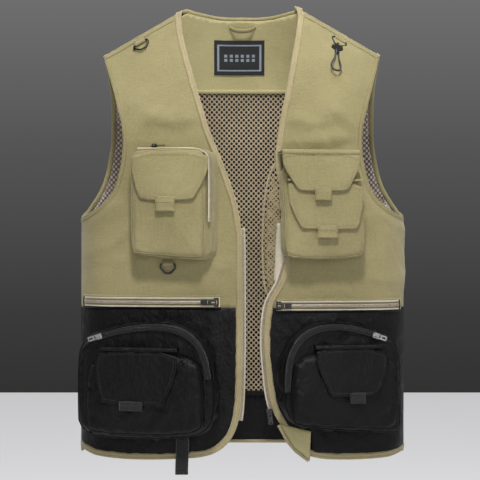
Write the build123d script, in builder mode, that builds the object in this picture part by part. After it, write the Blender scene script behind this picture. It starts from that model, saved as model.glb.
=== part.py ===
from build123d import *
import os
from math import sqrt, sin, cos, tan, atan2, radians, degrees, hypot

os.makedirs("parts", exist_ok=True)

# A sleeveless multi-pocket fishing vest, worn or hung upright, opened at the front.
# +Z is up, the front faces -Y, and the wearer's right is at -X.
# The origin is midway between the shoulder seams, where a hanger or the wearer's shoulders carry it.

# ---------------------------------------------------------------- driving dimensions (mm)
HALF_WIDTH = 251.0        # half of the body's width, armhole to hem
HALF_DEPTH = 85.0         # half of the body's depth
SIDE_RADIUS = 65.0        # how round the sides are, seen from above
RIDGE_Z = 89.6            # height of the shoulder fold, carried on to the centre line
RIDGE_SLOPE = 0.58        # fall of the shoulder fold per mm towards the arm
TAPER = 240.0             # height over which the body thins to the shoulder fold
CLOTH = 1.2               # shell cloth
LINING = 1.0              # mesh lining and facings
LINING_GAP = 0.6          # between shell cloth and lining
BIND_WIDTH = 9.0          # folded edge binding
BIND_IN, BIND_OUT = -3.2, 0.6
SEAM_DROP = 9.0           # the shoulder seam lies this far in front of the fold
PARTING_Z = -150.0        # the fronts swing below this height
SIDE_GAP = 0.3            # front and back halves at the side seams
COLOUR_Z = -425.8         # khaki above, black below
BACK_HEM_Z = -653.0
CHEST_DEPTH = 32.0        # how far the chest pockets stand off the body
WALL = 1.2                # pocket cloth
RING_WIRE = 1.4           # radius of the D-ring wire
CORD_RADIUS = 1.5

# circles of the plan view and of the shoulder taper
CORNER_X = HALF_WIDTH - SIDE_RADIUS
FRONT_K = (CORNER_X**2 - (HALF_DEPTH - SIDE_RADIUS) ** 2) / (2 * (HALF_DEPTH - SIDE_RADIUS))
FRONT_RADIUS = HALF_DEPTH + FRONT_K
TAPER_RADIUS = (HALF_DEPTH**2 + TAPER**2) / (2 * HALF_DEPTH)


def plan_depth(x):
    """Half depth of the body at x, seen from above."""
    x = abs(x)
    edge = CORNER_X * FRONT_RADIUS / (FRONT_RADIUS - SIDE_RADIUS)
    if x <= edge:
        return sqrt(FRONT_RADIUS**2 - x * x) - FRONT_K
    return sqrt(max(SIDE_RADIUS**2 - (x - CORNER_X) ** 2, 0))


def depth(x, z):
    """Half depth of the body at a point of the front view."""
    t = RIDGE_Z - RIDGE_SLOPE * abs(x) - z
    d = HALF_DEPTH
    if t < TAPER:
        d = sqrt(TAPER_RADIUS**2 - (TAPER - t) ** 2) - (TAPER_RADIUS - HALF_DEPTH)
    return min(plan_depth(x), d)


def shrunk(points, d):
    """A closed outline moved inwards by d, with mitred corners."""
    n = len(points)
    turn = sum(points[i][0] * points[(i + 1) % n][1] - points[(i + 1) % n][0] * points[i][1] for i in range(n))
    s = 1 if turn > 0 else -1
    moved = []
    for i in range(n):
        (ax, az), (bx, bz), (cx, cz) = points[i - 1], points[i], points[(i + 1) % n]
        l1, l2 = hypot(bx - ax, bz - az), hypot(cx - bx, cz - bz)
        n1 = (-(bz - az) / l1 * s, (bx - ax) / l1 * s)
        n2 = (-(cz - bz) / l2 * s, (cx - bx) / l2 * s)
        k = 1 + n1[0] * n2[0] + n1[1] * n2[1]
        moved.append((bx + d * (n1[0] + n2[0]) / k, bz + d * (n1[1] + n2[1]) / k))
    return moved


def torso(d):
    """The solid body, grown by d all round."""
    big, small = FRONT_RADIUS + d, SIDE_RADIUS + d
    reach = FRONT_RADIUS - SIDE_RADIUS
    tx, ty = CORNER_X / reach * big, FRONT_K - FRONT_K / reach * big
    cz, cy, rr = RIDGE_Z - TAPER, TAPER_RADIUS - HALF_DEPTH, TAPER_RADIUS + d
    top = cz + sqrt(rr**2 - cy**2)
    a = atan2(top - cz, cy) / 2
    my, mz = cy - rr * cos(a), cz + rr * sin(a)
    with BuildPart() as roof:
        with BuildSketch(Plane.YZ):
            with BuildLine():
                ThreePointArc((0, top), (my, mz), (-HALF_DEPTH - d, cz))
                Line((-HALF_DEPTH - d, cz), (-HALF_DEPTH - d, -760))
                Line((-HALF_DEPTH - d, -760), (HALF_DEPTH + d, -760))
                Line((HALF_DEPTH + d, -760), (HALF_DEPTH + d, cz))
                ThreePointArc((HALF_DEPTH + d, cz), (-my, mz), (0, top))
            make_face()
        extrude(amount=330, dir=(1, 0, -RIDGE_SLOPE))
        mirror(about=Plane.YZ)
    with BuildPart() as body:
        with BuildSketch(Plane.XY.offset(-672)):
            with BuildLine():
                ThreePointArc((-tx, ty), (0, -HALF_DEPTH - d), (tx, ty))
                ThreePointArc((tx, ty), (HALF_WIDTH + d, 0), (tx, -ty))
                ThreePointArc((tx, -ty), (0, HALF_DEPTH + d), (-tx, -ty))
                ThreePointArc((-tx, -ty), (-HALF_WIDTH - d, 0), (-tx, ty))
            make_face()
        extrude(amount=790)
        add(roof.part, mode=Mode.INTERSECT)
    return body.part


def layer(low, high):
    """The skin of the body between two offsets."""
    with BuildPart() as skin:
        add(torso(high))
        add(torso(low), mode=Mode.SUBTRACT)
    return skin.part


def cut(skin, outline, side=1, inset=0.0, minus=(), within=(), start=0.0, deep=200):
    """A piece of skin inside an outline of the front view; side is 1 for the front, -1 for the back."""
    with BuildPart() as piece:
        with BuildSketch(Plane.XZ.offset(start * side)):
            with BuildLine():
                Polyline(*shrunk(outline, inset), close=True)
            make_face()
            for area in within:
                with BuildLine():
                    Polyline(*area, close=True)
                make_face(mode=Mode.INTERSECT)
            for area in minus:
                with BuildLine():
                    Polyline(*area, close=True)
                make_face(mode=Mode.SUBTRACT)
        extrude(amount=side * deep)
        add(skin, mode=Mode.INTERSECT)
    return piece


def edging(skin, outline, side=1, width=BIND_WIDTH, minus=(), within=(), start=0.0):
    """The strip of skin along the inside of an outline."""
    with BuildPart() as strip:
        with BuildSketch(Plane.XZ.offset(start * side)):
            with BuildLine():
                Polyline(*outline, close=True)
            make_face()
            for area in within:
                with BuildLine():
                    Polyline(*area, close=True)
                make_face(mode=Mode.INTERSECT)
            for area in minus:
                with BuildLine():
                    Polyline(*area, close=True)
                make_face(mode=Mode.SUBTRACT)
        extrude(amount=side * 200)
        with BuildSketch(Plane.XZ.offset((start - 1) * side)):
            with BuildLine():
                Polyline(*shrunk(outline, width), close=True)
            make_face()
        extrude(amount=side * 210, mode=Mode.SUBTRACT)
        add(skin, mode=Mode.INTERSECT)
    return strip


def save(piece, name):
    piece.part.label = name
    export_step(piece.part, "parts/" + name + ".step")
    print(name, round(piece.part.volume), len(piece.part.solids()))


# ---------------------------------------------------------------- skins of the body
core = torso(0.65)
cloth_skin = layer(-CLOTH, 0)
lining_skin = layer(-CLOTH - LINING_GAP - LINING, -CLOTH - LINING_GAP)
bind_skin = layer(BIND_IN, BIND_OUT)
tape_skin = layer(0.05, 1.0)
coil_skin = layer(1.0, 2.2)
bag_skin = layer(-6.4, -3.3)

# ---------------------------------------------------------------- outlines, front view
right_front_edge = [(-98.4, 32.7), (-93.2, -6.2), (-76.5, -67.5), (-65.5, -105.3), (-50.3, -157.2), (-32.3, -200.8), (-17.3, -239.8), (-6.8, -274.3), (-1.6, -308.8), (0.2, -326.8), (0.0, -427.3), (0.0, -496.3), (-1.6, -565.3), (-5.3, -595.3), (-11.3, -613.3), (-20.3, -628.3), (-33.8, -640.4), (-48.8, -648.0), (-75.9, -652.8), (-171.6, -656.4)]
right_armhole = [(-235.2, 20.2), (-216.9, -37.8), (-197.5, -94.3), (-189.3, -126.4), (-183.3, -147.5), (-180.8, -175.5), (-182.6, -201.2), (-187.6, -223.9), (-193.7, -245.0), (-204.0, -260.1), (-213.4, -269.1), (-226.5, -278.0), (-238.6, -284.7), (-251.6, -289.4), (-285.2, -311.3)]
left_front_edge = [(90.7, 32.1), (83.2, -6.8), (75.4, -45.1), (65.6, -100.7), (56.3, -142.1), (50.3, -187.2), (48.8, -197.7), (50.3, -220.2), (56.3, -244.2), (60.8, -272.7), (62.3, -296.8), (64.6, -326.8), (63.8, -358.3), (54.8, -389.9), (38.3, -413.8), (33.0, -440.8), (31.5, -478.3), (34.5, -517.4), (39.0, -557.9), (46.5, -585.0), (56.3, -600.0), (74.4, -632.5), (103.1, -653.2), (170.1, -656.4)]
left_armhole = [(235.5, 20.2), (214.4, -36.2), (197.6, -94.3), (189.4, -126.4), (183.3, -147.5), (180.9, -175.5), (182.7, -201.2), (187.6, -223.9), (193.8, -245.0), (204.1, -260.1), (213.6, -269.1), (226.6, -278.0), (238.8, -284.6), (251.9, -289.4), (285.5, -311.3)]
right_region = right_front_edge + [(-224.8, -651.6), (-285.2, -652.2)] + right_armhole[::-1] + [(-235.2, 90.6), (-100.7, 90.6)]
left_region = left_front_edge + [(225.0, -653.9), (285.5, -652.2)] + left_armhole[::-1] + [(235.5, 90.6), (93.2, 90.6)]
neckline = [(-92.9, 90.6), (-85.2, 36.9), (-62.0, 33.0), (-33.9, 28.8), (0.2, 29.1), (31.1, 28.7), (53.1, 30.6), (73.2, 35.0), (85.5, 37.2), (93.2, 90.6)]
back_right_armhole = [(-235.2, 20.2), (-217.1, -37.5), (-209.6, -85.2), (-209.5, -115.5), (-210.6, -169.3), (-214.3, -192.0), (-218.9, -217.8), (-224.9, -237.2), (-234.4, -256.8), (-244.0, -273.1), (-251.6, -286.3), (-285.2, -305.0)]
back_left_armhole = [(235.5, 20.2), (215.4, -37.4), (210.0, -85.2), (210.0, -115.5), (211.2, -169.4), (214.9, -192.0), (219.4, -217.8), (225.4, -237.3), (234.8, -256.8), (244.3, -273.1), (251.9, -286.3), (285.5, -305.0)]
back_region = neckline + [(235.5, 90.6)] + back_left_armhole + [(300, BACK_HEM_Z), (-300, BACK_HEM_Z)] + back_right_armhole[::-1] + [(-235.2, 90.6)]


def above(z):
    return [(-400, z), (400, z), (400, 300), (-400, 300)]


def below(z):
    return [(-400, z), (400, z), (400, -800), (-400, -800)]


def over_seam(drop):
    """The area above a line parallel to the shoulder fold."""
    z0 = RIDGE_Z - drop
    return [(-320, z0 - 320 * RIDGE_SLOPE), (0, z0), (320, z0 - 320 * RIDGE_SLOPE), (320, 300), (-320, 300)]


# ---------------------------------------------------------------- back and shoulders (fixed)
with BuildPart() as back_upper_panel:
    add(cut(cloth_skin, back_region, side=-1, inset=BIND_WIDTH, within=[above(COLOUR_Z)]).part)
    for region in (right_region, left_region):
        add(cut(cloth_skin, region, inset=BIND_WIDTH, within=[over_seam(SEAM_DROP)]).part)
save(back_upper_panel, "back_upper_panel")
back_lower_panel = cut(cloth_skin, back_region, side=-1, inset=BIND_WIDTH, within=[below(COLOUR_Z)])
save(back_lower_panel, "back_lower_panel")
yoke_z = (0.3, -86.8)[1]
mesh_end_z = (0.3, -577.7)[1]
back_mesh_lining = cut(lining_skin, back_region, side=-1, inset=BIND_WIDTH, within=[below(yoke_z), above(mesh_end_z)])
save(back_mesh_lining, "back_mesh_lining")
back_yoke_facing = cut(lining_skin, back_region, side=-1, inset=BIND_WIDTH, within=[above(yoke_z)])
save(back_yoke_facing, "back_yoke_facing")
right_shoulder_panel = cut(cloth_skin, right_region, inset=BIND_WIDTH, within=[above(PARTING_Z + 0.4)], minus=[over_seam(SEAM_DROP)], start=SIDE_GAP)
save(right_shoulder_panel, "right_shoulder_panel")
left_shoulder_panel = cut(cloth_skin, left_region, inset=BIND_WIDTH, within=[above(PARTING_Z + 0.4)], minus=[over_seam(SEAM_DROP)], start=SIDE_GAP)
save(left_shoulder_panel, "left_shoulder_panel")
with BuildPart() as back_bindings:
    add(edging(bind_skin, back_region, side=-1).part)
    for region in (right_region, left_region):
        add(edging(bind_skin, region, within=[above(PARTING_Z + 0.4)]).part)
save(back_bindings, "back_bindings")

label_skin = layer(-3.7, -CLOTH - LINING_GAP - LINING)
neck_label = cut(label_skin, [(-46.2, -3.0), (36.2, -2.6), (36.6, -56.8), (-46.7, -57.0)], side=-1)
save(neck_label, "neck_label")

# hanger loop: a folded strip that stands off the facing below the neckline
LOOP_HALF, LOOP_TALL, LOOP_OUT, LOOP_THICK = 22.0, 8.0, 12.0, 1.6
loop_z = (0.2, 16.7)[1]
tilt = 0.62 / hypot(1, 0.62)
loop_plane = Plane(origin=(0, depth(0, loop_z) - 3.6, loop_z), x_dir=(1, 0, 0), z_dir=(0, -sqrt(1 - tilt**2), -tilt))
with BuildPart() as hanger_loop:
    with BuildSketch(loop_plane):
        Rectangle(2 * LOOP_HALF, LOOP_TALL)
    extrude(amount=LOOP_OUT)
    with BuildSketch(loop_plane.offset(-1)):
        Rectangle(2 * LOOP_HALF - 2 * LOOP_THICK, LOOP_TALL + 2)
    extrude(amount=LOOP_OUT + 1 - LOOP_THICK, mode=Mode.SUBTRACT)
    add(torso(-CLOTH - LINING_GAP - LINING - 0.05), mode=Mode.INTERSECT)
save(hanger_loop, "hanger_loop")

# ---------------------------------------------------------------- swinging fronts
left_tape_outline = [(63.4, -359.8), (54.5, -390.2), (38.0, -413.8), (32.7, -440.8), (31.2, -478.3), (34.2, -517.4), (38.7, -557.9), (45.8, -584.2), (41.3, -586.4), (32.9, -557.9), (28.5, -517.3), (25.4, -478.3), (26.9, -440.8), (32.3, -412.3), (50.3, -388.3), (59.3, -359.8)]
fronts = {}
for side, region in (("right", right_region), ("left", left_region)):
    corner = [] if side == "right" else [[(54.8, -599.3), (103.1, -611.1), (100.8, -669.7), (11.2, -668.8)]]
    upper = cut(cloth_skin, region, inset=BIND_WIDTH, within=[below(PARTING_Z - 0.4), above(COLOUR_Z)], start=SIDE_GAP)
    save(upper, side + "_front_upper_panel")
    lower = cut(cloth_skin, region, inset=BIND_WIDTH, within=[below(COLOUR_Z)], minus=corner, start=SIDE_GAP)
    save(lower, side + "_front_lower_panel")
    with BuildPart() as lining:
        add(cut(lining_skin, region, inset=BIND_WIDTH, within=[below(PARTING_Z - 0.4)], minus=corner, start=SIDE_GAP).part)
        if side == "left":
            add(cut(lining_skin, [(49.5, -203.7), (50.3, -220.2), (56.3, -244.2), (60.8, -272.7), (62.3, -296.8), (64.6, -326.8), (63.8, -358.3), (54.8, -389.9), (39.8, -410.8), (32.3, -398.8), (29.3, -356.8), (29.3, -301.3), (33.8, -256.3), (41.3, -221.8)], minus=[left_tape_outline]).part)
    save(lining, side + "_front_lining")
    with BuildPart() as binding:
        add(edging(bind_skin, region, within=[below(PARTING_Z - 0.4)], minus=corner, start=SIDE_GAP).part)
        if side == "left":
            # the hem corner, folded out and up so that its facing shows
            add(cut(layer(-1.2, 1.6), [(56.3, -599.7), (102.7, -611.6), (100.5, -653.2), (74.4, -632.5)]).part)
    save(binding, side + "_front_binding")
    fronts[side] = (upper, lower, lining, binding)

front_tape_skin = layer(-2.8, -1.4)
right_zip_tape = cut(front_tape_skin, [(-1.2, -305.8), (0.5, -326.8), (0.3, -427.3), (0.3, -496.3), (-1.2, -565.3), (3.8, -565.3), (5.7, -496.3), (5.7, -326.8), (3.8, -305.8)])
save(right_zip_tape, "right_zip_tape")
with BuildPart() as left_zip_tape:
    add(cut(front_tape_skin, left_tape_outline).part)
    add(cut(layer(-1.5, 0.2), [(53.7, -389.6), (36.6, -413.8), (31.4, -440.8), (29.9, -478.3), (32.9, -517.4), (37.4, -557.9), (43.7, -580.4), (41.0, -581.2), (34.4, -557.9), (30.0, -517.3), (26.9, -478.3), (28.4, -440.8), (33.8, -412.3), (51.2, -388.3)]).part)
save(left_zip_tape, "left_zip_tape")


# ---------------------------------------------------------------- zip hardware
def slider(pl):
    """A zip slider: plate, side flanges and crown. x runs along the zip, z away from the cloth."""
    with BuildPart() as s:
        with BuildSketch(pl.offset(2.6)):
            with BuildLine():
                Polyline((-5, -3.2), (-5, 3.2), (-1, 3.4), (3, 4.3), (5, 4.3), (5, -4.3), (3, -4.3), (-1, -3.4), close=True)
            make_face()
            fillet(vertices(), 0.5)
        extrude(amount=1.6)
        with BuildSketch(pl.offset(1.5)):
            for v in (-3.65, 3.65):
                with Locations((0.5, v)):
                    Rectangle(7, 1.0)
        extrude(amount=1.2)
        with BuildSketch(pl.offset(4.1)):
            with Locations((-2.8, 0), (2.8, 0)):
                Rectangle(1.4, 2.2)
        extrude(amount=2.5)
        with BuildSketch(pl.offset(6.4)):
            RectangleRounded(7.0, 2.2, 0.5)
        extrude(amount=1.2)
    return s


def puller(pl, way=1, long=19.0):
    """The zip's pull tab: an eye round the slider's crown, a neck and a slotted plate."""
    with BuildPart() as s:
        with BuildSketch(pl.offset(4.8)):
            with Locations((way * (long / 2 - 0.5), 0)):
                RectangleRounded(long, 7.0, 1.6)
            with Locations((way * 3.4, 0)):
                Rectangle(5.8, 4.2, mode=Mode.SUBTRACT)
            with Locations((way * (long - 5.0), 0)):
                SlotOverall(6.0, 2.6, mode=Mode.SUBTRACT)
        extrude(amount=1.0)
    return s


def tilted(x0, y0, angle, spin=0.0):
    """An upright plane that faces the front, turned about Z; its x runs to +X."""
    a, b = radians(angle), radians(spin)
    return Plane(origin=(x0, y0, 0), x_dir=(cos(a), sin(a), 0), z_dir=(sin(a), -cos(a), 0))


def on(pl, u, v, spin=0.0, w=0.0):
    """A plane on pl with its origin at u, v and its x turned by spin."""
    o = pl.origin + pl.x_dir * u + pl.y_dir * v + pl.z_dir * w
    b = radians(spin)
    return Plane(origin=o, x_dir=pl.x_dir * cos(b) + pl.y_dir * sin(b), z_dir=pl.z_dir)


def flat(points, x0, angle):
    """Front-view points as points of a tilted plane."""
    return [((x - x0) / cos(radians(angle)), z) for x, z in points]


def slab(pl, outline, low, high, inset=0.0):
    with BuildPart() as s:
        with BuildSketch(pl.offset(low)):
            with BuildLine():
                Polyline(*shrunk(outline, inset), close=True)
            make_face()
        extrude(amount=high - low)
    return s.part


def bag(pl, outline, front=0.0, back=-130.0, mouth=None, keep=None):
    """A pocket: front wall and gusset, open against the body. mouth is an area to open, keep a solid to stay in."""
    with BuildPart() as s:
        add(slab(pl, outline, back, front))
        if keep:
            add(keep, mode=Mode.INTERSECT)
        add(core, mode=Mode.SUBTRACT)
        add(slab(pl, outline, back - 5, front - WALL, inset=WALL), mode=Mode.SUBTRACT)
        if mouth:
            add(slab(pl, mouth, back - 5, front - WALL), mode=Mode.SUBTRACT)
    return s


def band(points, width):
    """The outline of a strip of a width along a line of points."""
    left, right = [], []
    for i, (x, z) in enumerate(points):
        a, b = points[max(i - 1, 0)], points[min(i + 1, len(points) - 1)]
        d = hypot(b[0] - a[0], b[1] - a[1])
        nx, nz = -(b[1] - a[1]) / d * width / 2, (b[0] - a[0]) / d * width / 2
        left.append((x + nx, z + nz))
        right.append((x - nx, z - nz))
    return left + right[::-1]


# ---------------------------------------------------------------- waist zips, on the curve of the body
def waist_zip(side, x_low, x_high, z_mid, slider_x, way):
    with BuildPart() as tape:
        add(cut(tape_skin, [(x_low, z_mid - 7.5), (x_high, z_mid - 7.5), (x_high, z_mid + 7.5), (x_low, z_mid + 7.5)], start=SIDE_GAP).part)
        add(cut(coil_skin, [(x_low + 4, z_mid - 2.4), (x_high - 4, z_mid - 2.4), (x_high - 4, z_mid + 2.4), (x_low + 4, z_mid + 2.4)], start=SIDE_GAP).part)
    save(tape, side + "_waist_zip_tape")
    a = degrees(atan2(slider_x, sqrt(FRONT_RADIUS**2 - slider_x**2)))
    pl = Plane(origin=(slider_x, -plan_depth(slider_x), z_mid), x_dir=(cos(radians(a)), sin(radians(a)), 0), z_dir=(sin(radians(a)), -cos(radians(a)), 0))
    save(slider(pl), side + "_waist_zip_slider")
    save(puller(pl, way), side + "_waist_zip_puller")
    print(side, "waist slider", pl.origin, pl.x_dir, "angle", a)


waist_r, waist_l = (-139.5, -417.3)[1], (147.1, -422.6)[1]
waist_zip("right", (-242.4, -419.2)[0], (-33.8, -416.8)[0], waist_r, (-57.8, -416.9)[0], 1)
waist_zip("left", (51.0, -421.4)[0], (241.7, -423.8)[0], waist_l, (68.3, -421.4)[0], -1)
right_waist_pocket_bag = cut(bag_skin, [(-223.2, -416.7), (-42.8, -415.3), (-48.8, -556.4), (-210.3, -559.2)], start=SIDE_GAP)
save(right_waist_pocket_bag, "right_waist_pocket_bag")
left_waist_pocket_bag = cut(bag_skin, [(59.3, -419.9), (228.3, -421.5), (218.4, -559.6), (71.4, -556.6)], start=SIDE_GAP)
save(left_waist_pocket_bag, "left_waist_pocket_bag")

# front zip slider and the box at the zip's lower end, on the left front's edge
fx, fz = (40.2, -581.9)
front_y = -plan_depth(fx)
f_top = (26.6, -481.3)
f_ang = degrees(atan2(f_top[1] - fz, f_top[0] - fx))
front_plane = Plane(origin=(fx, front_y + 0.3, fz), x_dir=(cos(radians(f_ang)), 0, sin(radians(f_ang))), z_dir=(0, -1, 0))
front_zip_slider = slider(front_plane)
save(front_zip_slider, "front_zip_slider")
front_zip_puller = puller(on(front_plane, 0, 0, 0), -1, 19.0)
save(front_zip_puller, "front_zip_puller")
with BuildPart() as front_zip_box:
    with BuildSketch(on(front_plane, -11.0, 0, 0, 0.0)):
        RectangleRounded(8.0, 6.4, 1.0)
    extrude(amount=3.2)
save(front_zip_box, "front_zip_box")
print("front slider", front_plane.origin, front_plane.x_dir, front_plane.y_dir)

# ---------------------------------------------------------------- right chest pocket
RC_A = -7.0
rc = tilted(-105.0, -(plan_depth(-105.0) + CHEST_DEPTH), RC_A)
rc_pts = lambda pts: flat(pts, -105.0, RC_A)
rc_outline = rc_pts([(-165.8, -193.6), (-160.6, -188.1), (-54.1, -188.1), (-44.4, -196.5), (-43.0, -229.1), (-43.0, -282.4), (-47.4, -341.6), (-55.5, -353.4), (-65.9, -354.1), (-157.6, -347.5), (-165.8, -341.6)])
right_chest_pocket = bag(rc, rc_outline)
save(right_chest_pocket, "right_chest_pocket")
rc_patch = rc_pts([(-162.7, -214.4), (-61.4, -214.4), (-60.7, -347.5), (-161.9, -341.5)])
right_chest_patch_pocket = bag(rc, rc_patch, front=2.6, back=0.05, mouth=rc_pts([(-160.4, -205.5), (-62.9, -205.5), (-62.9, -217.4), (-160.4, -217.4)]))
save(right_chest_patch_pocket, "right_chest_patch_pocket")
with BuildPart() as right_chest_flap:
    add(slab(rc, rc_pts([(-164.0, -193.1), (-164.0, -217.5), (-152.9, -261.0), (-127.8, -264.7), (-98.9, -264.7), (-70.9, -261.0), (-51.7, -221.9), (-50.3, -193.1)]), 3.2, 4.4))
    add(slab(rc, rc_pts([(-127.8, -258.8), (-127.8, -281.6), (-98.9, -281.6), (-98.9, -258.8)]), 4.4, 5.6))
save(right_chest_flap, "right_chest_flap")
# its zip lies on the top of the gusset
rc_top_z = (-107.3, -188.1)[1]
zip_plane = Plane(origin=rc.origin + Vector(0, 0, rc_top_z) - rc.z_dir * 9.0, x_dir=rc.x_dir, z_dir=(0, 0, 1))
u_of = lambda px: px
rc_u0, rc_u1 = rc_pts([(-157.6, -187.7)])[0][0], rc_pts([(-55.5, -187.7)])[0][0]
with BuildPart() as right_chest_zip_tape:
    with BuildSketch(zip_plane.offset(0.05)):
        with BuildLine():
            Polyline((rc_u0, -5), (rc_u1, -5), (rc_u1, 5), (rc_u0, 5), close=True)
        make_face()
    extrude(amount=0.95)
    with BuildSketch(zip_plane.offset(0.9)):
        with BuildLine():
            Polyline((rc_u0 + 2, -2.4), (rc_u1 - 2, -2.4), (rc_u1 - 2, 2.4), (rc_u0 + 2, 2.4), close=True)
        make_face()
    extrude(amount=1.3)
    # down the inner side of the gusset
    side_u = rc_pts([(-43.0, -229.1)])[0][0]
    with BuildSketch(Plane(origin=rc.origin + rc.x_dir * side_u - rc.z_dir * 9.0, x_dir=(0, 0, 1), z_dir=rc.x_dir).offset(0.05)):
        with BuildLine():
            Polyline(((-43.7, -201.0)[1], -5), ((-43.7, -297.2)[1], -5), ((-43.7, -297.2)[1], 5), ((-43.7, -201.0)[1], 5), close=True)
        make_face()
    extrude(amount=1.6)
save(right_chest_zip_tape, "right_chest_zip_tape")
rc_s = rc_pts([(-132.5, -187.7)])[0][0]
rc_slider_plane = on(zip_plane, rc_s, 0)
save(slider(rc_slider_plane), "right_chest_zip_slider")
save(puller(rc_slider_plane, 1, 17.0), "right_chest_zip_puller")
print("chest slider", rc_slider_plane.origin, rc_slider_plane.x_dir, rc_slider_plane.y_dir)


# ---------------------------------------------------------------- D-rings
def ring(pl, half=11.5, drop=15.0, bar=3.4):
    """A D-ring; its straight bar lies along x at y = 0, and it hangs towards -y. bar is its height above pl."""
    with BuildPart() as s:
        with BuildLine(pl.offset(bar)) as path:
            FilletPolyline((half, 0), (half + 0.8, -0.42 * drop), (4.2, -drop), (-4.2, -drop), (-half - 0.8, -0.42 * drop), (-half, 0), close=True, radius=2.4)
        with BuildSketch(Plane(origin=path.line @ 0, z_dir=path.line % 0)):
            Circle(RING_WIRE)
        sweep()
    return s


def ring_tab(pl, wide=17.6, long=10.0, bar=3.4, low=0.4):
    """A folded webbing tab round the ring's bar, sewn on at its +y end."""
    with BuildPart() as s:
        with BuildSketch(Plane(origin=pl.origin - pl.x_dir * wide / 2 + pl.z_dir * bar, x_dir=pl.y_dir, z_dir=pl.x_dir)):
            Circle(RING_WIRE + 1.6)
            with Locations((long / 2, -bar + low + (RING_WIRE + 1.6) / 2 + 0.2)):
                Rectangle(long, 3.0)
            Circle(RING_WIRE + 0.35, mode=Mode.SUBTRACT)
        extrude(amount=wide)
    return s


def shoulder_plane(x, drop, lift=0.0):
    """A plane on the front of a shoulder, drop below the fold, with x along the fold."""
    sgn = -1 if x < 0 else 1
    z = RIDGE_Z - RIDGE_SLOPE * abs(x) - drop
    r = Vector(1, 0, -sgn * RIDGE_SLOPE).normalized()
    s = (TAPER - drop) / sqrt(TAPER_RADIUS**2 - (TAPER - drop) ** 2)
    down = Vector(0, -s, -1)
    n = r.cross(down).normalized()
    if n.Y > 0:
        n = n * -1
    return Plane(origin=Vector(x, -depth(x, z), z) + n * lift, x_dir=r, z_dir=n)


rs_x, ls_x = (-157.9, -17.1)[0], (150.4, -18.7)[0]
rs = shoulder_plane(rs_x, 17.5)
ls = shoulder_plane(ls_x, 17.5)
with BuildPart() as shoulder_ring_tabs:
    for pl in (rs, ls):
        add(ring_tab(pl, low=0.55).part)
save(shoulder_ring_tabs, "shoulder_ring_tabs")
save(ring(rs), "right_shoulder_ring")
save(ring(ls, drop=13.0), "left_shoulder_ring")
print("right ring", rs.origin + rs.z_dir * 3.4, rs.x_dir, rs.z_dir)
print("left ring", ls.origin + ls.z_dir * 3.4, ls.x_dir, ls.z_dir)

# lanyard on the left shoulder ring: a moulded clasp round the ring's lower bar, with winged shoulders and a ribbed neck
clasp_pl = on(ls, 0, -13.0)
hang = 21.0   # the neck is turned this far, to hang nearer to straight down
neck_pl = on(clasp_pl, 0, 0, hang)
with BuildPart() as lanyard_clasp:
    with BuildSketch(Plane(origin=clasp_pl.origin - clasp_pl.x_dir * 1.7 + clasp_pl.z_dir * 3.4, x_dir=clasp_pl.y_dir, z_dir=clasp_pl.x_dir)):
        Circle(3.3)
        Circle(RING_WIRE + 0.4, mode=Mode.SUBTRACT)
    extrude(amount=3.4)
    with BuildSketch(neck_pl.offset(1.6)):
        with BuildLine():
            Polyline((-3.0, -2.9), (-8.5, -3.6), (-9.2, -8.5), (-4.2, -12.0), (4.2, -12.0), (9.2, -8.5), (8.5, -3.6), (3.0, -2.9), close=True)
        make_face()
    extrude(amount=3.8)
    for n in range(4):
        with BuildSketch(Plane(origin=neck_pl.origin + neck_pl.z_dir * 3.5 - neck_pl.y_dir * (11.6 + 2.0 * n), x_dir=neck_pl.x_dir, z_dir=-neck_pl.y_dir)):
            Ellipse(3.9 - 0.25 * (n % 2), 2.6 - 0.25 * (n % 2))
        extrude(amount=2.0)
    add(torso(0.5), mode=Mode.SUBTRACT)
save(lanyard_clasp, "lanyard_clasp")
print("clasp axis", clasp_pl.origin + clasp_pl.z_dir * 3.4, clasp_pl.x_dir)
cord_pts = [(-2.2, -19.6), (-3.0, -26.5), (-5.2, -33.5), (-8.4, -40.5), (-9.6, -48.0), (-5.6, -54.4), (1.4, -55.4), (6.4, -50.6), (6.2, -43.0), (4.0, -35.5), (2.6, -27.5), (2.2, -19.6)]
cord_world = [neck_pl.from_local_coords(Vector(u, v, 3.5)) for u, v in cord_pts]
radii = []
for i in range(1, len(cord_world) - 1):
    a, b, c = cord_world[i - 1], cord_world[i], cord_world[i + 1]
    half = radians((b - a).get_angle(c - b)) / 2
    radii.append(0.45 * min((b - a).length, (c - b).length) / tan(half))
print("cord radii", [round(r, 1) for r in radii])
with BuildPart() as lanyard_cord:
    with BuildLine() as cord_path:
        FilletPolyline(*cord_world, radius=radii)
    with BuildSketch(Plane(origin=cord_path.line @ 0, z_dir=cord_path.line % 0)):
        Circle(CORD_RADIUS)
    sweep()
save(lanyard_cord, "lanyard_cord")
cord_length = sum(e.length for e in cord_path.edges())
print("cord length", cord_length, "volume ratio", lanyard_cord.part.volume / (3.14159265 * CORD_RADIUS**2 * cord_length))
print("cord route", [tuple(round(c / 1000, 5) for c in v) for v in cord_world])

# chest ring, below the right chest pocket
cr_x, cr_z = (-111.7, -359.9)
cr = Plane(origin=(cr_x, -depth(cr_x, cr_z) - 0.0, cr_z), x_dir=(cos(radians(-7)), sin(radians(-7)), 0), z_dir=(sin(radians(-7)), -cos(radians(-7)), 0))
save(ring_tab(cr, wide=16.0, long=5.6, low=0.3), "chest_ring_tab")
save(ring(cr, half=10.6, drop=14.0), "chest_ring")
print("chest ring", cr.origin + cr.z_dir * 3.4, cr.x_dir)

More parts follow.
